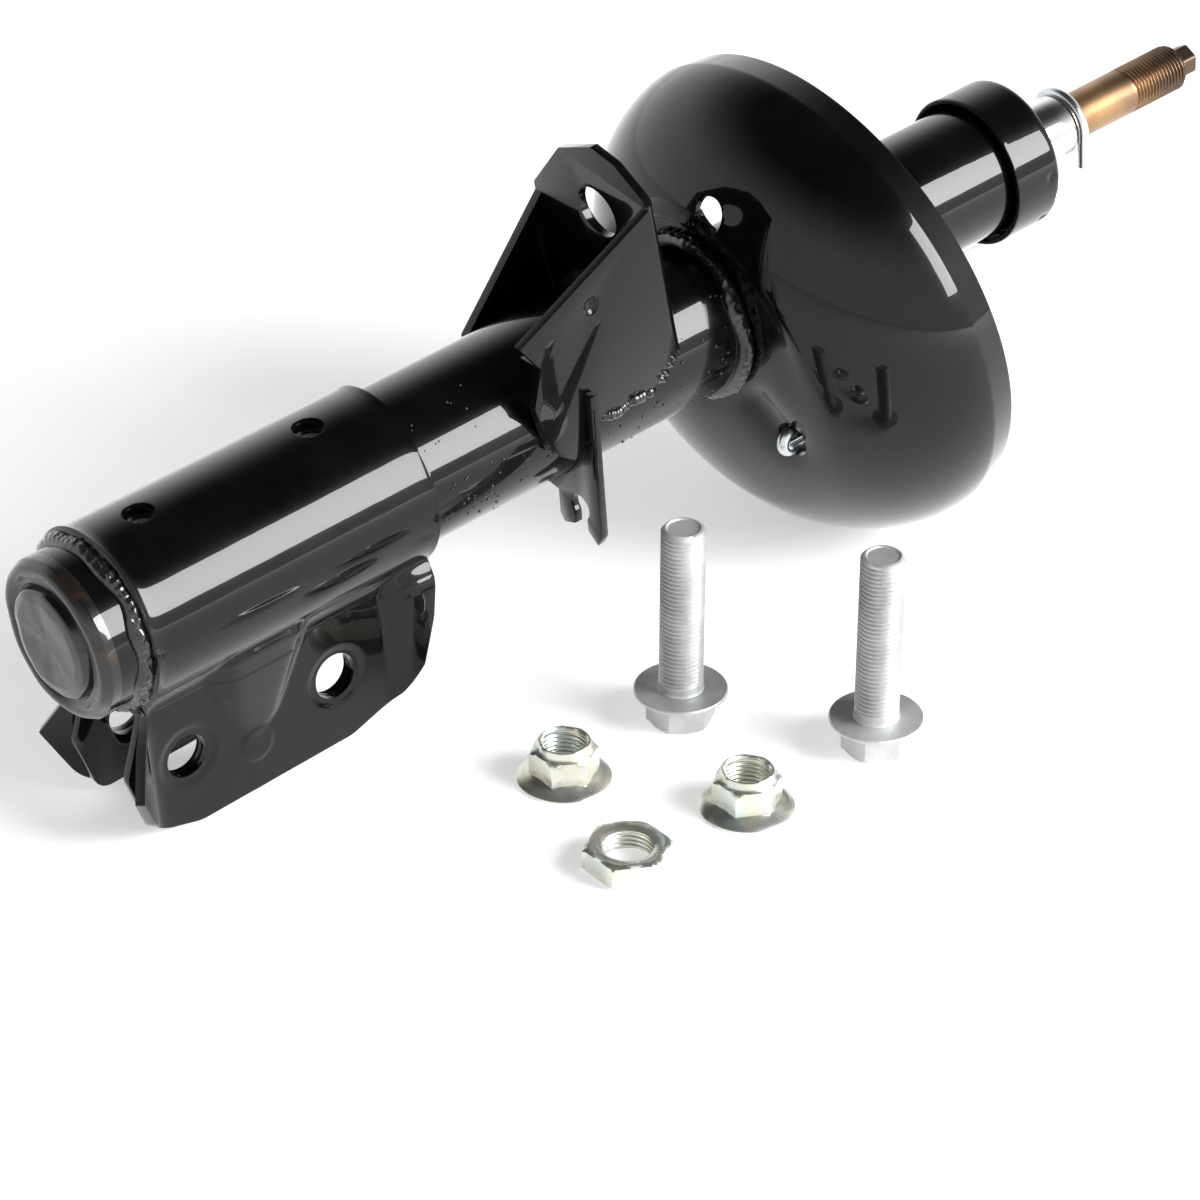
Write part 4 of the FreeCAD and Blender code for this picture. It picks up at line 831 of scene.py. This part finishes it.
def seat_surface(along, angle):
    """Outside of the pan: a superellipse bowl (along 0 to 1), then the lip (1 to 2), tilted as it widens."""
    turn = np.radians(90 * np.clip(1 - along, 0, 1))
    depth = np.sin(turn) ** SEAT["power"]
    radius = np.maximum(np.cos(turn), 0) ** SEAT["power"]
    lip = np.clip(2 - np.maximum(along, 1), 0, 1)
    swell = np.where(along < 1, radius, lip)
    blend = smooth_step(radius * 2.2)
    size = SEAT["flat"] + (SEAT["rim"] - SEAT["flat"]) * radius + SEAT["bulge"] * swell
    behind = SEAT["lip"] * lip + SEAT["bowl"] * depth
    tilt = SEAT["tilt"] * blend
    x = -behind * math.cos(SEAT["tilt"])
    y = SEAT["centre_y"] * blend
    z = (SEAT["centre_z"] - behind * math.sin(SEAT["tilt"])) * blend
    up = size * np.sin(angle)
    return np.stack([x - up * np.sin(tilt), y + size * np.cos(angle), z + up * np.cos(tilt)], -1)


class STRUT_OT_spring_seat(bpy.types.Operator):
    """Spring seat: a deep pressed pan with a flat back round the tube, three holes and a pressed valley to
    the lower one
    """
    bl_idname = "strut.spring_seat"
    bl_label = "Spring Seat"

    def execute(self, context):
        segments = 220
        angle = np.linspace(0, FULL_TURN, segments, endpoint=False)[None, :]
        samples = np.linspace(0, 2, 1600)
        line = seat_surface(samples, np.full(samples.shape, math.pi / 2))
        length = np.concatenate([[0], np.cumsum(np.linalg.norm(np.diff(line, axis=0), axis=1))])
        along = np.interp(np.linspace(0, length[-1], 96), length, samples)[:, None]
        pan = seat_surface(along + 0 * angle, angle + 0 * along)
        reach = np.linspace(TUBE + 0.05, SEAT["flat"], 10)[:-1, None]
        floor = np.stack([seat_back() + 0 * reach * angle, reach * np.cos(angle), reach * np.sin(angle)], -1)
        shell = np.concatenate([floor, pan])
        hole = math.radians(LOW_DRAIN)
        along_valley = shell[..., 1] * math.cos(hole) + shell[..., 2] * math.sin(hole)
        across = -shell[..., 1] * math.sin(hole) + shell[..., 2] * math.cos(hole)
        valley = smooth_step((along_valley - 27.0) / 8.0) * smooth_step((60.0 - along_valley) / 10.0)
        valley = valley * np.exp(-(across / 8.5) ** 2)
        shell[..., 0] += 3.2 * valley
        piece = make_piece("seat_pan", [(laid(shell), False, True, 0)], [finish(BLACK)])
        thicken(piece, pan_faces_back(piece))
        cutters = []
        for turn, beyond in DRAINS:
            a, circle = math.radians(turn), SEAT["flat"] + beyond
            centre = (-40.0, circle * math.cos(a), circle * math.sin(a))
            cutters.append(cylinder_cutter("cut_%d" % turn, centre, (1, 0, 0), DRAIN_RADIUS, 60.0))
        cut_away(piece, cutters, solver="MANIFOLD")
        soften(piece, 0.7, 3)
        place_piece(piece, "housing", BLACK, "spring_seat")
        return {"FINISHED"}


def pan_faces_back(piece):
    """Whether an open pan's faces look away from its opening."""
    facing = face_values(piece.data, "normal", 3) @ np.array(AXIS_DIRECTION)
    return float(facing @ face_values(piece.data, "area", 1)[:, 0]) < 0


class STRUT_OT_bump_cup(bpy.types.Operator):
    """Bump stop cup: turned cap pressed on the tube's end, with three small dents near its rim"""
    bl_idname = "strut.bump_cup"
    bl_label = "Bump Cup"

    def execute(self, context):
        profile = refine(round_corners(
            [(70, 22.38), (78, 22.38), (78, 12), (81.3, 12), (81.3, CUP), (62, CUP), (62, 24.2), (70, 24.2),
             (70, 22.38)],
            [0.2, 0.2, 0.4, 2.2, 0.7, 0.7, 0.8], 5)[:-1], 1.2)

        def dents(x, angle):
            total = 0 * x * angle
            for place, turn in ((77.2, 3.05), (77.2, 3.75), (77.2, 0.9)):
                away = np.hypot(x - place, CUP * np.angle(np.exp(1j * (angle - turn))))
                total = total - 0.7 * smooth_step((2.2 - away) / 1.6)
            return total * (x > 62.5)

        points = turned(profile, 200)
        outside = profile[:, 1] > 25.0
        moved = turned(profile, 200, dents)
        points = np.where(outside[:, None, None], moved, points)
        piece = make_piece("bump_cup_cap", [(points, True, True, 0)], [finish(BLACK)])
        place_piece(piece, "housing", BLACK, "bump_cup")
        return {"FINISHED"}


def thread_depth(x, angle, start, end, pitch, depth):
    """Saw shape that winds one pitch for each turn, faded in and out at its ends."""
    phase = (x / pitch - angle / FULL_TURN) % 1.0
    tooth = np.abs(phase * 2 - 1)
    tooth = smooth_step(tooth * 1.25 - 0.12)
    fade = smooth_step((x - start) / pitch) * smooth_step((end - x) / pitch)
    return -depth * (1 - tooth) * fade


def round_angles(count):
    """Evenly spaced angles of one turn."""
    return np.linspace(0, FULL_TURN, count, endpoint=False)


def hexagon_radius(angle, flats):
    """Distance from the middle of a hexagon to its edge at an angle; corners at 30 degrees and on."""
    turn = (angle - math.pi / 6) % (math.pi / 3) - math.pi / 6
    return flats / 2 / np.cos(turn)


class STRUT_OT_piston_rod(bpy.types.Operator):
    """Piston rod: ground shaft, heat-tinted shank, winding thread and hexagon tip"""
    bl_idname = "strut.piston_rod"
    bl_label = "Piston Rod"

    def execute(self, context):
        stud = 6.0
        low_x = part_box("piston_rod")[0][0] / MM
        start = (low_x + (stud - HOLE[2]) * math.sin(PITCH)) / math.cos(PITCH) + HOLE[0] + 0.01
        profile = round_corners(
            [(start, 0), (start, stud), (start + 30.0, stud), (start + 30.0, 11.0), (103.6, 11.0),
             (104.5, 10.1), (104.5, 7.9), (135.0, 7.9), (135.4, 8.0), (158.8, 8.0), (160.0, 6.9), (160.0, 0)],
            [0.3, 0.2, 0.2, 0.3, 0.3, 0.6, 0.2, 0.1, 0.2, 0.3], 3)
        pitch = look().rod_thread
        parts = [refine(profile[profile[:, 0] < 134.5], 6.0)]
        parts.append(refine(profile[profile[:, 0] >= 134.5], pitch / 8))
        profile = np.concatenate(parts)
        points = turned(profile, 128, lambda x, a: np.where(
            x > 134.9, thread_depth(x, a, 134.9, 160.4, pitch, 0.85), 0.0))
        angle = np.linspace(0, FULL_TURN, 72, endpoint=False)[None, :]
        x = np.array([159.0, 159.0, 166.9, 167.5, 167.5])[:, None]
        share = np.array([0.0, 1.0, 1.0, 0.9, 0.0])[:, None]
        radius = np.minimum(hexagon_radius(angle, SPIGOT_FLATS), SPIGOT_CORNER) * share
        spigot = laid(np.stack([x + 0 * angle, radius * np.cos(angle), radius * np.sin(angle)], -1))
        grids = [(points, False, True, 0), (spigot, False, True, 0)]
        piece = make_piece("rod_shaft", grids, [finish("chrome_rod")])
        place_piece(piece, "rod", "chrome_rod", "piston_rod")
        return {"FINISHED"}


class STRUT_OT_retaining_wire(bpy.types.Operator):
    """Retaining wire: a bent round wire with plain cut ends"""
    bl_idname = "strut.retaining_wire"
    bl_label = "Retaining Wire"

    def execute(self, context):
        piece = copy_of("retaining_wire", "wire_loop", "wire_steel")
        shade(piece.data, 50.0)
        place_piece(piece, "rod", "wire_steel", "retaining_wire")
        return {"FINISHED"}


def upright(profile_r, profile_h, angle, hexes, flats, centre):
    """Grid about the z axis: radius from a profile, held to a hexagon where hexes is 1."""
    radius = profile_r[:, None] + 0 * angle[None, :]
    held = np.minimum(radius, hexagon_radius(angle, flats)[None, :])
    radius = np.where(hexes[:, None] > 0, held, radius)
    height = profile_h[:, None] + 0 * angle[None, :]
    points = np.stack([radius * np.cos(angle), radius * np.sin(angle), height], -1)
    return points * MM + np.array([centre[0], centre[1], FLOOR_Z])


def scale_about(points, centre, scale):
    """Scale points away from the upright axis through a centre."""
    middle = np.array([centre[0], centre[1]])
    points[..., :2] = middle + (points[..., :2] - middle) * scale[..., None]


def group_centres(node):
    """Centres of the two separate solids of a CAD node, split halfway along x."""
    mesh = frame["nodes"][node].data
    co = np.zeros(len(mesh.vertices) * 3)
    mesh.vertices.foreach_get("co", co)
    co = co.reshape(-1, 3)
    middle = (co[:, 0].min() + co[:, 0].max()) / 2
    centres = []
    for side in (co[co[:, 0] < middle], co[co[:, 0] >= middle]):
        centres.append(((side[:, 0].min() + side[:, 0].max()) / 2, (side[:, 1].min() + side[:, 1].max()) / 2))
    return centres


class STRUT_OT_knuckle_bolts(bpy.types.Operator):
    """Flange bolts that stand on their heads, with wound threads"""
    bl_idname = "strut.knuckle_bolts"
    bl_label = "Knuckle Bolts"

    def execute(self, context):
        pitch = look().bolt_thread
        angle = round_angles(108)
        grids = []
        for index, centre in enumerate(group_centres("knuckle_bolts")):
            outline = [(0, 0.6, 1), (5.2, 0.6, 1), (6.0, 0, 1), (9.6, 0.0, 1), (10.9, 0.8, 1),
                       (10.97, 1.3, 1), (10.97, 5.0, 1), (10.97, 8.2, 1), (9.6, 8.25, 1), (10.2, 8.6, 0),
                       (12.4, 9.2, 0),
                       (14.2, 10.0, 0), (14.75, 10.5, 0), (14.75, 11.1, 0), (14.4, 11.5, 0), (8.2, 11.5, 0),
                       (7.3, 11.7, 0), (7.0, 12.4, 0)]
            height = np.arange(12.4 + pitch / 8, 68.2, pitch / 8)
            stem = np.stack([np.full(height.shape, 7.0), height, 0 * height], -1)
            tip = np.array([(7.0, 68.2, 0), (6.6, 68.8, 0), (5.75, 69.5, 0), (5.3, 69.5, 0), (4.9, 69.05, 0),
                            (0, 69.05, 0)])
            table = np.concatenate([np.array(outline, float), stem, tip])
            points = upright(table[:, 0], table[:, 1], angle, table[:, 2], BOLT_FLATS, centre)
            depth = thread_depth(table[:, 1][:, None], angle[None, :] + index, 14.0, 69.8, pitch, 0.8)
            threaded = (table[:, 0] > 5.7) & (table[:, 1] > 13.0)
            scale = np.where(threaded[:, None], 1 + depth / np.maximum(table[:, 0], 1)[:, None], 1.0)
            scale_about(points, centre, scale)
            grids.append((points, False, True, 0))
        piece = make_piece("flange_bolts", grids, [finish("zinc_matt")], sharp=40)
        place_piece(piece, "bolts", "zinc_matt", "knuckle_bolts")
        return {"FINISHED"}


class STRUT_OT_knuckle_nuts(bpy.types.Operator):
    """Flange nuts with chamfered hexagon, staked collar and threaded bore"""
    bl_idname = "strut.knuckle_nuts"
    bl_label = "Knuckle Nuts"

    def execute(self, context):
        pitch = look().bolt_thread
        angle = round_angles(144)
        grids = []
        for centre in group_centres("knuckle_nuts"):
            outline = [(8.6, 0, 0), (13.9, 0, 0), (14.7, 0.25, 0), (14.75, 0.9, 0), (14.3, 1.35, 0),
                       (12.6, 2.0, 0), (10.6, 2.75, 0), (10.0, 3.2, 0), (10.97, 3.3, 1), (10.97, 6.0, 1),
                       (10.97, 9.6, 1), (10.6, 10.3, 1), (9.6, 11.2, 1), (8.9, 11.6, 0), (8.4, 12.4, 0),
                       (8.3, 13.4, 0), (8.0, 13.9, 0), (7.5, 14.0, 0), (7.0, 13.6, 0)]
            bore = np.arange(13.2, 0.9, -pitch / 10)
            stem = np.stack([np.full(bore.shape, 6.75), bore, 0 * bore], -1)
            table = np.concatenate([np.array(outline, float), stem, np.array([(7.4, 0.4, 0), (7.9, 0.0, 0)])])
            points = upright(table[:, 0], table[:, 1], angle, table[:, 2], BOLT_FLATS, centre)
            depth = thread_depth(table[:, 1][:, None], angle[None, :], 0.6, 13.4, pitch, -0.6)
            inside = (table[:, 0] < 6.9)
            scale = np.where(inside[:, None], 1 + depth / 6.75, 1.0)
            places = 0.6 + 2.1 * np.array([[0], [1], [2]])
            away = np.abs(np.angle(np.exp(1j * (angle - places)))).min(0)
            stake = smooth_step((0.35 - away) / 0.2)
            collar = (table[:, 1] > 12.0) & (table[:, 0] > 6.9)
            scale = scale - np.where(collar[:, None], 0.035 * stake[None, :], 0)
            scale_about(points, centre, scale)
            grids.append((points, True, True, 0))
        piece = make_piece("flange_nuts", grids, [finish("zinc_bright")], sharp=40)
        place_piece(piece, "nuts", "zinc_bright", "knuckle_nuts")
        return {"FINISHED"}


class STRUT_OT_rod_nut(bpy.types.Operator):
    """Thin rod nut with both faces chamfered and a threaded bore"""
    bl_idname = "strut.rod_nut"
    bl_label = "Rod Nut"

    def execute(self, context):
        pitch = look().rod_thread
        angle = round_angles(144)
        low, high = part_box("rod_nut")
        centre = ((low[0] + high[0]) / 2, (low[1] + high[1]) / 2)
        outline = [(9.0, 0, 0), (11.6, 0, 1), (13.0, 0.55, 1), (13.86, 1.1, 1), (13.86, 4, 1),
                   (13.86, 6.9, 1), (13.0, 7.45, 1), (11.6, 8, 1), (9.0, 8.0, 0), (8.1, 7.3, 0)]
        bore = np.arange(7.2, 0.8, -pitch / 10)
        stem = np.stack([np.full(bore.shape, 7.7), bore, 0 * bore], -1)
        table = np.concatenate([np.array(outline, float), stem, np.array([(8.1, 0.7, 0)])])
        points = upright(table[:, 0], table[:, 1], angle, table[:, 2], ROD_NUT_FLATS, centre)
        depth = thread_depth(table[:, 1][:, None], angle[None, :], 0.4, 7.6, pitch, -0.6)
        inside = table[:, 0] < 7.9
        scale = np.where(inside[:, None], 1 + depth / 7.7, 1.0)
        scale_about(points, centre, scale)
        piece = make_piece("thin_nut_ring", [(points, True, True, 0)], [finish("zinc_bright")], sharp=40)
        place_piece(piece, "thin_nut", "zinc_bright", "rod_nut")
        return {"FINISHED"}


class STRUT_OT_inner_parts(bpy.types.Operator):
    """Finishes of the solids that stay: the damper's inner pieces"""
    bl_idname = "strut.inner_parts"
    bl_label = "Inner Parts"

    def execute(self, context):
        slots = {row["node"]: row["material_slot"] for row in frame["record"]["subparts"]}
        for name, node in frame["nodes"].items():
            node.data.materials.clear()
            node.data.materials.append(finish(slots[name]))
        return {"FINISHED"}


def lamp(name, centre, target, width, height, radiance):
    """Rectangular soft lamp of a given radiance that looks at a target."""
    data = bpy.data.lights.new(name, "AREA")
    data.shape = "RECTANGLE"
    data.size = width
    data.size_y = height
    data.energy = radiance * math.pi * width * height
    piece = bpy.data.objects.new(name, data)
    bpy.context.scene.collection.objects.link(piece)
    direction = Vector(target) - Vector(centre)
    piece.location = centre
    piece.rotation_euler = direction.to_track_quat("-Z", "Y").to_euler()
    return piece


def toward(azimuth, elevation, distance, middle=(0.2, 0.0, 0.05)):
    """Point at a distance from the middle: azimuth in degrees from +Y towards +X."""
    a, e = math.radians(azimuth), math.radians(elevation)
    step = (math.sin(a) * math.cos(e), math.cos(a) * math.cos(e), math.sin(e))
    return tuple(m + distance * s for m, s in zip(middle, step))


class STRUT_OT_stage(bpy.types.Operator):
    """Pale floor, soft studio lamps and the camera"""
    bl_idname = "strut.stage"
    bl_label = "Stage"

    def execute(self, context):
        scene = bpy.context.scene
        material = bpy.data.materials.new("studio_floor")
        material.use_nodes = True
        tree = material.node_tree
        tree.nodes.clear()
        n = Nodes(tree)
        matt = n.add("ShaderNodeBsdfDiffuse", Color=(0.8, 0.8, 0.8, 1))
        glow = n.add("ShaderNodeEmission", Color=(1, 1, 1, 1), Strength=0.45)
        both = n.add("ShaderNodeAddShader", i0=matt.outputs[0], i1=glow.outputs[0])
        path = n.add("ShaderNodeLightPath")
        seen = n.maths("MAXIMUM", path.outputs["Is Camera Ray"], path.outputs["Is Glossy Ray"])
        seen = n.maths("MAXIMUM", seen, path.outputs["Is Transmission Ray"])
        mixed = n.add("ShaderNodeMixShader", Fac=seen, i1=matt.outputs[0], i2=both.outputs[0])
        n.add("ShaderNodeOutputMaterial", Surface=mixed.outputs[0])
        side = 3.0
        steps = np.linspace(-side, side, 9)
        gx, gy = np.meshgrid(steps, steps, indexing="ij")
        floor = make_piece("floor", [(np.stack([gx, gy, 0 * gx + FLOOR_Z], -1), False, False, 0)], [material])

        world = bpy.data.worlds.new("studio")
        scene.world = world
        world.use_nodes = True
        tree = world.node_tree
        tree.nodes.clear()
        n = Nodes(tree)
        place = n.add("ShaderNodeTexCoord").outputs["Generated"]
        height = n.add("ShaderNodeSeparateXYZ", Vector=place).outputs["Z"]
        sky = n.add("ShaderNodeMapRange", {"interpolation_type": "SMOOTHSTEP"}, Value=height)
        for key, value in (("From Min", 0.3), ("From Max", 0.85), ("To Min", 1.2), ("To Max", 0.04)):
            sky.inputs[key].default_value = value
        ground = n.add("ShaderNodeBackground", Color=(1, 1, 1, 1), Strength=sky.outputs[0])
        n.add("ShaderNodeOutputWorld", Surface=ground.outputs[0])

        lamp("softbox_near", toward(151, 28, 2.2), toward(151, 28, 0.0), 1.15, 1.25, 18.0)

        data = bpy.data.cameras.new("camera")
        data.lens = look().lens
        data.sensor_width = 36.0
        data.clip_end = 20.0
        camera = bpy.data.objects.new("camera", data)
        scene.collection.objects.link(camera)
        ahead = Vector((0.54702, 0.64160, -0.53770)).normalized()
        right = Vector((0.76301, -0.64635, 0.00498)).normalized()
        up = right.cross(ahead).normalized()
        right = ahead.cross(up)
        turn = Matrix((right, up, -ahead)).transposed()
        camera.matrix_world = Matrix.Translation(Vector((-0.6412, -0.9587, 0.7780))) @ turn.to_4x4()
        scene.camera = camera
        scene.view_settings.view_transform = "Standard"
        return {"FINISHED"}


PIECE_OPERATORS = (
    STRUT_OT_inner_parts, STRUT_OT_body_tube, STRUT_OT_end_cap, STRUT_OT_knuckle_bracket,
    STRUT_OT_inner_bracket, STRUT_OT_welds, STRUT_OT_link_bracket, STRUT_OT_hose_bracket,
    STRUT_OT_spring_seat, STRUT_OT_bump_cup, STRUT_OT_piston_rod, STRUT_OT_retaining_wire,
    STRUT_OT_knuckle_bolts, STRUT_OT_knuckle_nuts, STRUT_OT_rod_nut, STRUT_OT_stage,
)


class STRUT_PT_panel(bpy.types.Panel):
    """Lists the strut's sizes and the operators that build it"""
    bl_label = "Strut"
    bl_idname = "STRUT_PT_panel"
    bl_space_type = "VIEW_3D"
    bl_region_type = "UI"
    bl_category = "Strut"

    def draw(self, context):
        for key in StrutSizes.__annotations__:
            self.layout.prop(context.scene.strut_sizes, key)
        for operator in PIECE_OPERATORS:
            self.layout.operator(operator.bl_idname)


CLASSES = (StrutSizes,) + PIECE_OPERATORS + (STRUT_PT_panel,)


def register():
    for item in CLASSES:
        bpy.utils.register_class(item)
    bpy.types.Scene.strut_sizes = bpy.props.PointerProperty(type=StrutSizes)


def unregister():
    del bpy.types.Scene.strut_sizes
    for item in reversed(CLASSES):
        bpy.utils.unregister_class(item)


def main():
    register()
    for operator in PIECE_OPERATORS:
        group, name = operator.bl_idname.split(".")
        getattr(getattr(bpy.ops, group), name)()


if __name__ == "__main__":
    main()
